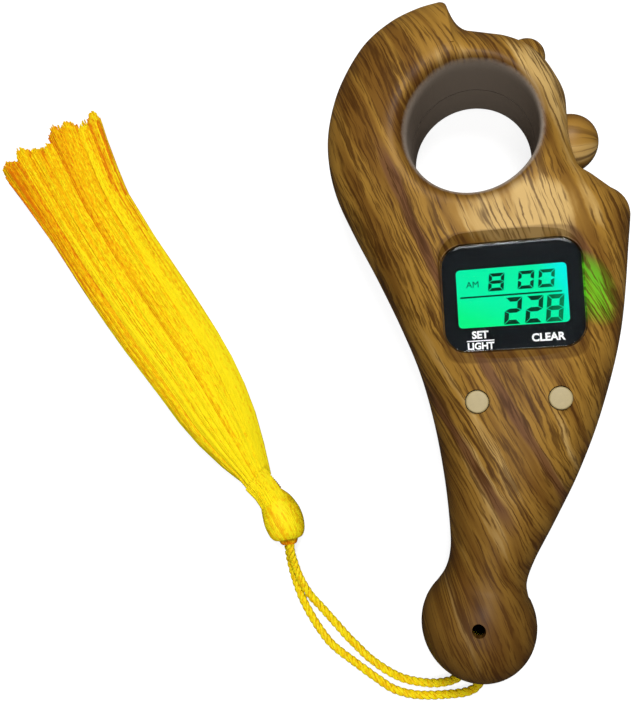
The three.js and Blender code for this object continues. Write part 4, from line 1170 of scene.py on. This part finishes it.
# The outline's places, each as shares of the width and the length
NECK_RIGHT_SHARES = (0.1005, -0.382)
SHELF_END_SHARES = (0.499, 0.152)
SHELF_CORNER_SHARES = (0.499, 0.176)
SHELF_TOP_SHARES = (0.452, 0.186)
HORN_FOOT_SHARES = (0.017, 0.4445)
HORN_HOLLOW_SHARES = (-0.02, 0.451)
HORN_RISE_SHARES = (-0.037, 0.468)
HORN_TIP_SHARES = (-0.053, 0.4915)
HORN_CORNER_SHARES = (-0.058, 0.4985)
HORN_BACK_SHARES = (-0.079, 0.4995)
NECK_LEFT_SHARES = (-0.2115, -0.3625)
RIGHT_SIDE_SHARES = [
    NECK_RIGHT_SHARES, (0.0975, -0.358), (0.131, -0.323), (0.203, -0.269), (0.289, -0.2), (0.371, -0.115),
    (0.445, -0.006), (0.489, 0.12), SHELF_END_SHARES,
]
SHELF_SHARES = [
    SHELF_TOP_SHARES, (0.398, 0.206), (0.352, 0.223), (0.329, 0.256), (0.3235, 0.3), (0.321, 0.333),
    (0.2965, 0.362), (0.259, 0.391), (0.2085, 0.413), (0.152, 0.427), (0.094, 0.435),
    HORN_FOOT_SHARES,
]
LEFT_SIDE_SHARES = [
    HORN_BACK_SHARES, (-0.16, 0.4945), (-0.26, 0.479), (-0.36, 0.447), (-0.445, 0.391), (-0.4905, 0.3325),
    (-0.5, 0.28), (-0.478, 0.223), (-0.425, 0.164), (-0.345, 0.089), (-0.27, 0.012), (-0.215, -0.056),
    (-0.178, -0.13), (-0.155, -0.21), (-0.147, -0.28), (-0.152, -0.315), (-0.173, -0.341),
    NECK_LEFT_SHARES,
]
# Each row: share along, share across, front depth, back depth, front fullness, back fullness
SPINE_SHARES = [
    (-0.418, -0.071, 0.5, 0.6, 2, 2), (-0.36, -0.038, 0.52, 0.62, 2, 2),
    (-0.3, 0.015, 0.63, 0.68, 2.05, 2.1), (-0.22, 0.058, 0.76, 0.78, 2.15, 2.4),
    (-0.13, 0.09, 0.9, 0.9, 2.4, 3), (-0.04, 0.1, 0.975, 0.98, 2.7, 3.7),
    (0.05, 0.09, 1, 1, 2.8, 4), (0.14, 0.055, 1, 1, 2.8, 4),
    (0.28, 0.008, 1, 1, 2.8, 4), (0.36, -0.03, 1, 1, 2, 4),
]


def ball_arc(steps):
    """The end ball's part of the outline, from the neck's left side round to its right."""
    middle = Vector((END_BALL_X, END_BALL_Y))
    left = on_body(NECK_LEFT_SHARES) - middle
    right = on_body(NECK_RIGHT_SHARES) - middle
    turns = spaced(math.atan2(left.y, left.x), math.atan2(right.y, right.x) + math.tau, steps)
    return [middle + END_BALL_RADIUS * Vector((math.cos(turn), math.sin(turn))) for turn in turns]


def outline(fineness):
    """The housing's widest outline, counter-clockwise from the neck's right side."""
    runs = [
        flowing(RIGHT_SIDE_SHARES, 2 * fineness),
        bend(SHELF_END_SHARES, SHELF_CORNER_SHARES, SHELF_TOP_SHARES, 3 * fineness),
        flowing(SHELF_SHARES, 2 * fineness),
        sweep(HORN_FOOT_SHARES, HORN_HOLLOW_SHARES, HORN_RISE_SHARES, HORN_TIP_SHARES, 3 * fineness),
        bend(HORN_TIP_SHARES, HORN_CORNER_SHARES, HORN_BACK_SHARES, 2 * fineness),
        flowing(LEFT_SIDE_SHARES, 2 * fineness),
        ball_arc(16 * fineness),
    ]
    return [point for run in runs for point in run[:-1]]


def spine_values(along):
    """The spine table's row at a distance along, smoothed between rows."""
    share = clamp(along / BODY_LENGTH, SPINE_SHARES[0][0], SPINE_SHARES[-1][0])
    low = row_below(SPINE_SHARES, share)
    rows = [SPINE_SHARES[clamp(low + i, 0, len(SPINE_SHARES) - 1)] for i in (-1, 0, 1, 2)]
    width = rows[2][0] - rows[1][0]
    t = (share - rows[1][0]) / width
    made = []
    for column in range(len(rows[0])):
        leave = (rows[2][column] - rows[0][column]) / (rows[2][0] - rows[0][0]) * width
        reach = (rows[3][column] - rows[1][column]) / (rows[3][0] - rows[1][0]) * width
        made.append(eased(rows[1][column], rows[2][column], leave, reach, t))
    return made


def spine_at(y):
    """The crown line's place, and the form's depths and fullnesses there."""
    along = clamp(y, END_BALL_Y, SPINE_SHARES[-1][0] * BODY_LENGTH)
    _, across, front, back, front_power, back_power = spine_values(along)
    ball_depth = math.sqrt(max(END_BALL_RADIUS ** 2 - (along - END_BALL_Y) ** 2, 0))

    def blended(depth):
        if along - END_BALL_Y < NECK_SOFTNESS:
            return END_BALL_RADIUS
        return (ball_depth + depth + math.hypot(ball_depth - depth, NECK_SOFTNESS)) / 2

    middle = Vector((across * BODY_WIDTH, along))
    return middle, blended(front * FRONT_DEPTH), blended(back * BACK_DEPTH), front_power, back_power


def housing_form(inset, fineness, front_levels, back_levels):
    """The housing's outer form, or the same form drawn in by an inset."""
    edge = outline(fineness)
    columns = []
    for i, point in enumerate(edge):
        before, after = edge[i - 1], edge[(i + 1) % len(edge)]
        ring_end = RING_HOLE.y + (point.y - RING_HOLE.y) * CROWN_END_SHARE
        spine = spine_at(ring_end if point.y > RING_HOLE.y else point.y)
        inward = spine[0] - point
        normal = Vector((before.y - after.y, after.x - before.x)).normalized()
        steep = max(normal.dot(inward), inward.length / 2)
        columns.append((point, inward, spine, min(inset / steep, INSET_LIMIT_SHARE)))

    def ring_at(turn, side):
        ring = []
        for point, inward, (_, front, back, front_power, back_power), share in columns:
            power = front_power if side > 0 else back_power
            depth = (front if side > 0 else back) - inset
            reach = math.cos(turn) ** (2 / power) * (1 - share)
            at = point + inward * (1 - reach)
            ring.append(Vector((at.x, at.y, PARTING + side * depth * math.sin(turn) ** (2 / power))))
        return ring

    def turns(levels):
        return [(level + 1) / (levels + CROWN_OPEN_SHARE) * math.pi / 2 for level in range(levels)]

    below = [ring_at(turn, -1) for turn in reversed(turns(back_levels))]
    above = [ring_at(turn, 1) for turn in turns(front_levels)]
    return loft([*below, ring_at(0, 1), *above], strip_fill)


def finger_hole(form):
    """The finger hole's cutter, whose rim runs smoothly into the form's face and its back."""
    skin = BVHTree.FromBMesh(form)
    back_rim = [(-out, -z) for out, z in reversed(bowed(0, 0, BACK_RIM_ROUND, BACK_RIM_STEPS))]
    seam = [(0, PARTING - SEAM_GROOVE), (SEAM_GROOVE, PARTING), (0, PARTING + SEAM_GROOVE)]

    def face_height(away, reach):
        spot = RING_HOLE + away * reach
        return skin.ray_cast(Vector((spot.x, spot.y, ABOVE * 2)), -UP)[0].z

    columns = []
    for turn in spaced(0, math.tau, RING_HOLE_SIDES)[:-1]:
        away = Vector((math.cos(turn), math.sin(turn)))
        full = (1 + math.cos(turn - RING_RIM_TURN)) / 2
        rim = RING_RIM_NARROW_ROUND + (RING_RIM_ROUND - RING_RIM_NARROW_ROUND) * full
        face = face_height(away, RING_HOLE_RADIUS + rim)
        slope = (face_height(away, RING_HOLE_RADIUS + rim + SLOPE_REACH) - face) / SLOPE_REACH
        foot = Vector((0, face - rim * RIM_DEPTH_SHARE))
        pull = Vector((0, face - slope * rim))
        front_rim = [drawn(foot, pull, Vector((rim, face)), t) for t in spaced(0, 1, RIM_STEPS)]
        profile = [(BACK_RIM_ROUND, -OVERRUN), *back_rim, *seam, *front_rim, (rim, ABOVE)]
        column = []
        for out, z in profile:
            at = RING_HOLE + away * (RING_HOLE_RADIUS + out)
            column.append(Vector((at.x, at.y, z)))
        columns.append(column)
    return loft(list(zip(*columns)))


def display_recess():
    """The sunken field that the window lies in, sloping up to the face."""
    gap = FIT_GAP * 2
    low = (WINDOW_WIDTH + gap, WINDOW_HEIGHT + gap, WINDOW_CORNER)
    high = (
        WINDOW_WIDTH + RECESS_SIDE_MARGIN * 2, WINDOW_HEIGHT + RECESS_MARGIN * 2,
        WINDOW_CORNER + RECESS_SIDE_MARGIN,
    )
    return loft([
        rounded_rectangle(*low, WINDOW, WINDOW_FACE_HEIGHT),
        rounded_rectangle(*high, WINDOW, WINDOW_FACE_HEIGHT + RECESS_RISE),
        rounded_rectangle(*high, WINDOW, ABOVE),
    ])


def count_cuts():
    """Hole and pocket for the count button."""
    flange_foot = COUNT_FLANGE_REACH - COUNT_TRAVEL - FIT_GAP
    return [
        along_push(post(COUNT_BALL_RADIUS + FIT_GAP, COUNT_FLANGE_REACH, BODY_WIDTH, steps=64)),
        along_push(post(COUNT_FLANGE_RADIUS + FIT_GAP, flange_foot, COUNT_SEAT, steps=64)),
    ]


def nub():
    """The small round bump moulded at the ring's end."""
    form = bmesh.new()
    bmesh.ops.create_uvsphere(form, u_segments=48, v_segments=24, radius=NUB_RADIUS)
    return moved(form, Matrix.Translation((NUB.x, NUB.y, PARTING)))


SLAB_SIZE = (BODY_WIDTH * 2, BODY_LENGTH * 2)
FORM_FINENESS = 4
HOLLOW_FINENESS = 2
# Levels above and below the parting line
FRONT_LEVELS = (26, 8)
FRONT_HOLLOW_LEVELS = (8, 4)
BACK_LEVELS = (6, 22)
BACK_HOLLOW_LEVELS = (4, 8)


def housing_hollow(foot, top):
    """The room inside the housing, clear of the ring's tube and the count button's seat."""
    slab = block((*SLAB_SIZE, top - foot), (0, 0, (foot + top) / 2))
    return [
        ("INTERSECT", slab),
        ("DIFFERENCE", post(RING_HOLE_RADIUS + RING_TUBE_WALL, -OVERRUN, ABOVE, RING_HOLE, steps=64)),
        ("DIFFERENCE", post(
            RING_HOLE_RADIUS + RING_COLLAR_WALL, BODY_THICKNESS - RING_COLLAR_DEPTH, ABOVE, RING_HOLE,
            steps=64,
        )),
        ("DIFFERENCE", along_push(post(COUNT_FLANGE_RADIUS + WALL, COUNT_SEAT, BODY_WIDTH, steps=48))),
    ]


def as_form(mesh):
    """A mesh in metres as a form in millimetres."""
    form = bmesh.new()
    form.from_mesh(mesh)
    bmesh.ops.scale(form, vec=(1 / MM,) * 3, verts=form.verts)
    bpy.data.meshes.remove(mesh)
    return form


def shell_half(side, form, foot, height, cuts, material):
    """One finished half of the housing: the form with its nub, sliced at the parting line and cut."""
    slab = block((*SLAB_SIZE, height), (0, 0, foot + height / 2))
    steps = [("UNION", nub()), ("INTERSECT", slab), *[("DIFFERENCE", cut) for cut in cuts]]
    finished(
        f"{side}_shell_print", carved(form, *steps), material,
        replaces=[f"{side}_shell"],
    )


def front_shell(material):
    """The housing's front half, with its ledge, recess and openings for the display and the buttons."""
    outer = housing_form(0, FORM_FINENESS, *FRONT_LEVELS)
    hollow = housing_form(WALL, HOLLOW_FINENESS, *FRONT_HOLLOW_LEVELS)
    ledge_size = (WINDOW_WIDTH + LEDGE_WALL * 2, WINDOW_HEIGHT + LEDGE_WALL * 2, BODY_THICKNESS)
    ledge = block(ledge_size, (*WINDOW, LCD_TOP + BODY_THICKNESS / 2))
    cavity = carved(hollow, *housing_hollow(PARTING - OVERRUN, ABOVE), ("DIFFERENCE", ledge))
    gap = FIT_GAP * 2
    margin = LEDGE_OPENING_MARGIN * 2
    seat_size = (WINDOW_WIDTH + gap, WINDOW_HEIGHT + gap, WINDOW_CORNER + FIT_GAP)
    view_size = (LCD_VIEW_WIDTH + margin, LCD_VIEW_HEIGHT + margin, LCD_VIEW_CORNER)
    cuts = [
        as_form(cavity), finger_hole(outer), display_recess(),
        prism(rounded_rectangle(*seat_size, WINDOW, MASK_TOP - LEDGE_DEPTH), ABOVE),
        prism(rounded_rectangle(*view_size, WINDOW, LCD_TOP - OVERRUN), ABOVE),
        post(FRONT_HOLE_RADIUS, PARTING, ABOVE, FRONT_HOLE),
        *count_cuts(),
    ]
    for at in BUTTON_PLACES.values():
        cuts.append(post(BUTTON_RADIUS + BUTTON_GAP, LCD_TOP - OVERRUN, ABOVE, at, steps=64))
    shell_half("front", outer, PARTING, BODY_THICKNESS, cuts, material)


def back_shell(material):
    """The housing's back half, with its tray for the coin cell and its holes for the screws and cord."""
    outer = housing_form(0, FORM_FINENESS, *BACK_LEVELS)
    hollow = housing_form(WALL, HOLLOW_FINENESS, *BACK_HOLLOW_LEVELS)
    low, high, door = box_of("battery_door")
    size = high - low
    tray_size = (size.x + TRAY_MARGIN * 2, size.y + TRAY_MARGIN * 2, TRAY_TOP * 2)
    tray = block(tray_size, (door.x, door.y, 0))
    cavity = carved(hollow, *housing_hollow(WALL, PARTING + OVERRUN), ("DIFFERENCE", tray))
    recess_size = (DOOR_WIDTH + FIT_GAP * 2, DOOR_LENGTH + FIT_GAP * 2, DOOR_CORNER + FIT_GAP)
    cuts = [
        as_form(cavity), finger_hole(outer),
        prism(rounded_rectangle(*recess_size, CELL_PLACE, -OVERRUN), CELL_FOOT),
        post(CELL_WELL_RADIUS, 0, CELL_WELL_TOP, CELL_PLACE, steps=64), *count_cuts(),
        along_cord_hole(post(CORD_HOLE_RADIUS, END_BALL_RADIUS / 2, END_BALL_RADIUS * 2, steps=48)),
    ]
    for screw in CASE_SCREWS:
        at = box_of(screw)[2]
        cuts.append(post(CASE_SCREW_HEAD_RADIUS + FIT_GAP, -OVERRUN, CASE_SCREW_SEAT, at.xy, steps=48))
        cuts.append(post(CASE_SCREW_SHANK_RADIUS + FIT_GAP, -OVERRUN, BODY_THICKNESS, at.xy, steps=24))
    shell_half("back", outer, 0, PARTING, cuts, material)


# Display
LETTER_WEIGHT = 0.035
LETTER_STEPS = 4


def letters(words, size, at, z, weight=LETTER_WEIGHT):
    """Flat letters centred on a place, as a form in millimetres."""
    curve = bpy.data.curves.new("letters", "FONT")
    curve.body = words
    curve.size = size
    curve.extrude = PRINT_THICKNESS / 2
    curve.align_x = "CENTER"
    curve.align_y = "CENTER"
    curve.resolution_u = LETTER_STEPS
    curve.offset = size * weight
    maker = linked("letters", curve)
    mesh = evaluated_mesh(maker)
    form = bmesh.new()
    form.from_mesh(mesh)
    bpy.data.objects.remove(maker)
    bpy.data.curves.remove(curve)
    bpy.data.meshes.remove(mesh)
    bmesh.ops.remove_doubles(form, verts=form.verts, dist=MERGE_DISTANCE)
    return moved(form, Matrix.Translation((*at, z)))


def joined_forms(forms):
    """Several forms as one."""
    whole = bmesh.new()
    for form in forms:
        mesh = bpy.data.meshes.new("part")
        form.to_mesh(mesh)
        form.free()
        whole.from_mesh(mesh)
        bpy.data.meshes.remove(mesh)
    return whole


DIGIT_SLANT = 0.12
SEGMENT_GAP = 0.07
SEGMENTS_OF = {"0": "abcdef", "2": "abged", "8": "abcdefg"}
# Each segment: the shape that it repeats, mirrored across and mirrored down
SEGMENTS = {
    "a": ("top", 1, 1), "b": ("side", -1, 1), "c": ("side", -1, -1), "d": ("top", 1, -1),
    "e": ("side", 1, -1), "f": ("side", 1, 1), "g": ("bar", 1, 1),
}


def digit(figure, centre, width, height, thickness):
    """A seven-segment figure, leaning a little to the right. Thin gaps part its segments."""
    outer = -width / 2
    left = outer + SEGMENT_GAP
    inner = left + thickness
    top = height / 2
    half = thickness / 2
    shapes = {
        "top": [(left, top), (-left, top), (-inner, top - thickness), (inner, top - thickness)],
        "side": [
            (outer, SEGMENT_GAP), (outer, top - SEGMENT_GAP),
            (outer + thickness, top - thickness - SEGMENT_GAP), (outer + thickness, half + SEGMENT_GAP),
        ],
        "bar": [(left, 0), (inner, half), (-inner, half), (-left, 0), (-inner, -half), (inner, -half)],
    }
    forms = []
    lean = Matrix(((1, DIGIT_SLANT, 0, 0), (0, 1, 0, 0), (0, 0, 1, 0), (0, 0, 0, 1)))
    for name in SEGMENTS_OF[figure]:
        shape, mirror_x, mirror_y = SEGMENTS[name]
        form = prism([Vector((x * mirror_x, y * mirror_y, 0)) for x, y in shapes[shape]], PRINT_THICKNESS)
        forms.append(moved(form, Matrix.Translation((*centre, LCD_TOP + LCD_PRINT_LIFT)) @ lean))
    return forms


def on_lcd(across, down):
    """A place on the display by its shares across and down the lit field."""
    left = WINDOW.x - LCD_VIEW_WIDTH / 2
    top = WINDOW.y + LCD_VIEW_HEIGHT / 2
    return Vector((left + across * LCD_VIEW_WIDTH, top - down * LCD_VIEW_HEIGHT))


# Each row: share down, width, height and stroke of its figures, and each figure with its share across
FIGURE_ROWS = [
    (0.225, (2.55, 3.0, 0.55), [("8", 0.37), ("0", 0.641), ("0", 0.826)]),
    (0.738, (2.7, 4.5, 0.72), [("2", 0.507), ("2", 0.699), ("8", 0.885)]),
]
RULE_SHARES = (0.492, 0.459)
RULE_SIZE = (16.5, 0.28)
DAY_HALF_SHARES = (0.15, 0.246)
DAY_HALF_SIZE = 1.5
# Each row: words, letter size, distance right of the lit field's left edge and below its upper edge
LEGEND = [("SET", 1.7, 3.4, 11.1), ("LIGHT", 1.55, 3.4, 12.95), ("CLEAR", 1.75, 14.2, 12.1)]
LEGEND_RULE_PLACE = (3.4, 12.03)
LEGEND_RULE_SIZE = (4.5, 0.17)


def lcd_figures(material):
    """The time, the count, the rule between them and the two letters for the half of the day."""
    forms = []
    for down, sizes, figures in FIGURE_ROWS:
        for figure, across in figures:
            forms += digit(figure, on_lcd(across, down), *sizes)
    z = LCD_TOP + LCD_PRINT_LIFT + PRINT_THICKNESS / 2
    forms.append(block((*RULE_SIZE, PRINT_THICKNESS), (*on_lcd(*RULE_SHARES), z)))
    forms.append(letters("AM", DAY_HALF_SIZE, on_lcd(*DAY_HALF_SHARES), z, weight=0))
    finished("lcd_figures", joined_forms(forms), material)


def window_legend(material):
    """Plain words for the two face buttons, printed behind the window."""
    z = MASK_TOP + LEGEND_LIFT
    left, top = on_lcd(0, 0)
    forms = [letters(words, size, (left + right, top - down), z) for words, size, right, down in LEGEND]
    right, down = LEGEND_RULE_PLACE
    forms.append(block((*LEGEND_RULE_SIZE, PRINT_THICKNESS), (left + right, top - down, z)))
    finished("window_legend", joined_forms(forms), material)


def display_window(material):
    """The clear window, its upper edge rounded over."""
    foot = MASK_TOP + WINDOW_FOOT_LIFT
    flat_edge = (-WINDOW_EDGE - WINDOW_EDGE_REST, WINDOW_FACE_HEIGHT)
    profile = [(0, foot), *bowed(0, WINDOW_FACE_HEIGHT, WINDOW_EDGE, 5), flat_edge]
    size = (WINDOW_WIDTH, WINDOW_HEIGHT, WINDOW_CORNER)
    rings = [grown_rectangle(size, out, WINDOW, z) for out, z in profile]
    finished(
        "window_pane", loft(rings), material, replaces=["display_window"],
        sharp=WINDOW_SHARP_EDGE,
    )


# Buttons
def face_button(name, material):
    """A face button's cap, its edge rounded and its top slightly domed."""
    low, high, centre = box_of(f"{name}_button_cap")
    flange = (high.x - low.x) / 2
    seat = low.z + BUTTON_FLANGE_THICKNESS
    profile = [
        (0, low.z), (flange, low.z), (flange, seat), (BUTTON_RADIUS, seat),
        *bowed(BUTTON_RADIUS, high.z, BUTTON_EDGE, 6),
        (BUTTON_RADIUS / 2, high.z + BUTTON_CROWN * 3 / 4), (0, high.z + BUTTON_CROWN),
    ]
    form = moved(turned(profile, steps=64), Matrix.Translation((centre.x, centre.y, 0)))
    finished(
        f"{name}_button_face", form, material, body=f"{name}_button",
        replaces=[f"{name}_button_cap"],
    )


def count_ball(material):
    """The count button's ball, hollow behind, with its flange and stem."""
    inside = COUNT_BALL_RADIUS - COUNT_CAP_WALL

    def on_ball(radius, turns):
        return [(radius * math.cos(turn), COUNT_BALL_REACH + radius * math.sin(turn)) for turn in turns]

    profile = [
        (0, COUNT_STEM_FOOT), (COUNT_STEM_RADIUS, COUNT_STEM_FOOT),
        *on_ball(inside, spaced(math.acos(COUNT_STEM_RADIUS / inside), 0, 12)),
        (inside, COUNT_FLANGE_REACH), (COUNT_FLANGE_RADIUS, COUNT_FLANGE_REACH),
        (COUNT_FLANGE_RADIUS, COUNT_SEAT), (COUNT_BALL_RADIUS, COUNT_SEAT),
        *on_ball(COUNT_BALL_RADIUS, spaced(0, math.pi / 2, 24)),
    ]
    finished(
        "count_ball", along_push(turned(profile, steps=72)), material, body="count_button",
        replaces=["count_knob"],
    )


# Screws and battery door
CASE_SCREW = (CASE_SCREW_HEAD_RADIUS, CASE_SCREW_HEAD_HEIGHT, CASE_SCREW_SHANK_RADIUS)
DOOR_SCREW = (DOOR_SCREW_HEAD_RADIUS, DOOR_SCREW_HEAD_HEIGHT, DOOR_SCREW_SHANK_RADIUS)


def cross_head_screw(name, number, sizes, material):
    """A screw with its head below, turned by its number, with a cross cut into the head."""
    head_radius, head_height, shank = sizes
    low, high, centre = box_of(name)
    seat = low.z + head_height
    edge = [(radius, low.z + seat - z) for radius, z in reversed(bowed(head_radius, seat, SCREW_EDGE, 4))]
    profile = [
        (0, low.z), *edge, (head_radius, seat), (shank, seat), (shank, high.z - shank), (0, high.z),
    ]
    form = moved(turned(profile, steps=40), Matrix.Translation((centre.x, centre.y, 0)))
    arm = head_radius * CROSS_ARM_SHARE
    slot_width = arm * CROSS_SLOT_SHARE
    deep = head_height * CROSS_DEPTH_SHARE
    placing = Matrix.Translation((centre.x, centre.y, low.z)) @ Matrix.Rotation(number * CROSS_TURN, 4, "Z")
    cuts = []
    for size in ((arm, slot_width, deep), (slot_width, arm, deep)):
        cuts.append(("DIFFERENCE", moved(block(size, (0, 0, 0)), placing)))
    finished(f"{name}_cross", carved(form, *cuts), material, replaces=[name])


def battery_door(material):
    """The battery door with softened edges, its tongue and its screw's hole."""
    low, high, _ = box_of("battery_door")
    screw = box_of("battery_door_screw")[2]
    profile = [(out, low.z - z) for out, z in reversed(bowed(0, 0, DOOR_EDGE, 4))]
    size = (DOOR_WIDTH, DOOR_LENGTH, DOOR_CORNER)
    rings = [grown_rectangle(size, out, CELL_PLACE, z) for out, z in [*profile, (0, high.z)]]
    tongue = block(
        (TONGUE_WIDTH, TONGUE_LENGTH, TONGUE_THICKNESS),
        (CELL_PLACE.x, high.y - TONGUE_LENGTH / 2, high.z - TONGUE_THICKNESS / 2),
    )
    head_hole = post(DOOR_SCREW_HEAD_RADIUS + FIT_GAP, -OVERRUN, DOOR_SCREW_SEAT, screw.xy, steps=40)
    door_above = CELL_FOOT + OVERRUN
    shank_hole = post(DOOR_SCREW_SHANK_RADIUS + FIT_GAP, -OVERRUN, door_above, screw.xy, steps=24)
    mesh = carved(loft(rings), ("UNION", tongue), ("DIFFERENCE", head_hole), ("DIFFERENCE", shank_hole))
    finished("battery_door_print", mesh, material, replaces=["battery_door"])


# Floor, world and lights
FLOOR_SIZE = 3
FLOOR_DROP = 0.0001
FLOOR_GLOW = 0.84
STRAY_LIGHT_SHARE = 0.05
LIGHT_TARGET = (0, 0, 0.01)


def make_floor():
    """A pale floor that is darker for stray rays, so that it doesn't light the object's edges."""
    finish = Finish("floor_pale", roughness=0.9, emission_strength=FLOOR_GLOW)
    path = finish.node("LightPath")
    seen = finish.term(path, "Is Camera Ray")
    finish.feed(
        base_color=finish.mix(seen, (0.05, 0.05, 0.05), (0.3, 0.3, 0.3)),
        emission_color=finish.mix(seen, (0, 0, 0), (1, 1, 1)),
    )
    form = bmesh.new()
    bmesh.ops.create_grid(form, x_segments=1, y_segments=1, size=FLOOR_SIZE)
    bmesh.ops.translate(form, vec=(0, 0, -FLOOR_DROP), verts=form.verts)
    mesh = bpy.data.meshes.new("floor")
    form.to_mesh(mesh)
    form.free()
    mesh.materials.append(finish.material)
    linked("floor", mesh)


def make_world():
    """A white surrounding that lights the object only a little."""
    world = bpy.data.worlds.new("studio")
    bpy.context.scene.world = world
    world.use_nodes = True
    tree = world.node_tree
    background = tree.nodes["Background"]
    background.inputs["Color"].default_value = (1, 1, 1, 1)
    path = tree.nodes.new("ShaderNodeLightPath")
    seen = Term(tree, path.outputs["Is Camera Ray"])
    strength = seen * (1 - STRAY_LIGHT_SHARE) + STRAY_LIGHT_SHARE
    tree.links.new(strength.socket, background.inputs["Strength"])


def area_light(name, at, size, energy):
    data = bpy.data.lights.new(name, "AREA")
    data.shape = "DISK"
    data.size = size
    data.energy = energy
    lamp = linked(name, data)
    lamp.location = at
    lamp.rotation_euler = (Vector(LIGHT_TARGET) - Vector(at)).to_track_quat("-Z", "Y").to_euler()


make_camera()
thread = thread_yellow()
bulb = tassel_head(thread)
for strand in CORD_ROUTES:
    make_cord(strand, thread)
tassel_binding(thread)
tassel_over_threads(thread)
tassel_skirt(thread)
tassel_core(thread)

wood = housing_print()
front_shell(wood)
back_shell(wood)
battery_door(wood)
count_ball(knob_print())

beige = moulded("cap_beige", (0.41, 0.325, 0.155), 0.5)
for button in BUTTON_PLACES:
    face_button(button, beige)

display_window(window_clear())
lcd_figures(lcd_dark())
window_legend(white_print_painted_glow())

steel = metal("screw_steel", (0.62, 0.62, 0.64), 0.28)
for screw_number, screw_name in enumerate(CASE_SCREWS, 1):
    cross_head_screw(screw_name, screw_number, CASE_SCREW, steel)
cross_head_screw("battery_door_screw", len(CASE_SCREWS) + 1, DOOR_SCREW, steel)

black = moulded("switch_black", (0.03, 0.03, 0.032), 0.55)
board = moulded("board_green", (0.02, 0.11, 0.04), 0.35)
rubber = moulded("zebra_rubber", (0.05, 0.05, 0.05), 0.8)
brass = metal("contact_brass", (0.75, 0.55, 0.25), 0.3)
NODE_FINISHES = {
    "display_mask": mask_black(),
    "lcd_panel": lcd_lit(),
    "backlight_panel": moulded("light_panel", (0.8, 0.83, 0.8), 0.6),
    "backlight_led": moulded("led_body", (0.8, 0.82, 0.76), 0.4),
    "zebra_strip_upper": rubber,
    "zebra_strip_lower": rubber,
    "main_board": board,
    "count_board": board,
    "board_screw_1": steel,
    "board_screw_2": steel,
    "controller_chip": moulded("chip_black", (0.015, 0.015, 0.016), 0.3),
    "clock_crystal": metal("crystal_can", (0.75, 0.75, 0.77), 0.2),
    "count_lead": moulded("lead_grey", (0.35, 0.37, 0.39), 0.6),
    "coin_cell": metal("cell_steel", (0.72, 0.72, 0.73), 0.25),
    "contact_plus": brass,
    "contact_minus": brass,
    "cord_knot": thread,
}
for switch in ("mode", "reset", "count"):
    NODE_FINISHES[f"{switch}_switch_base"] = black
    NODE_FINISHES[f"{switch}_switch_plunger"] = black
for node_name, material in NODE_FINISHES.items():
    node_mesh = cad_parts[node_name].data
    node_mesh.materials.clear()
    node_mesh.materials.append(material)

bpy.context.scene.view_settings.view_transform = "Standard"
make_floor()
make_world()
area_light("key_light", (0.05, 0.19, 0.42), size=0.16, energy=1.9)
area_light("fill_light", (0, -0.13, 0.42), size=0.2, energy=0.75)
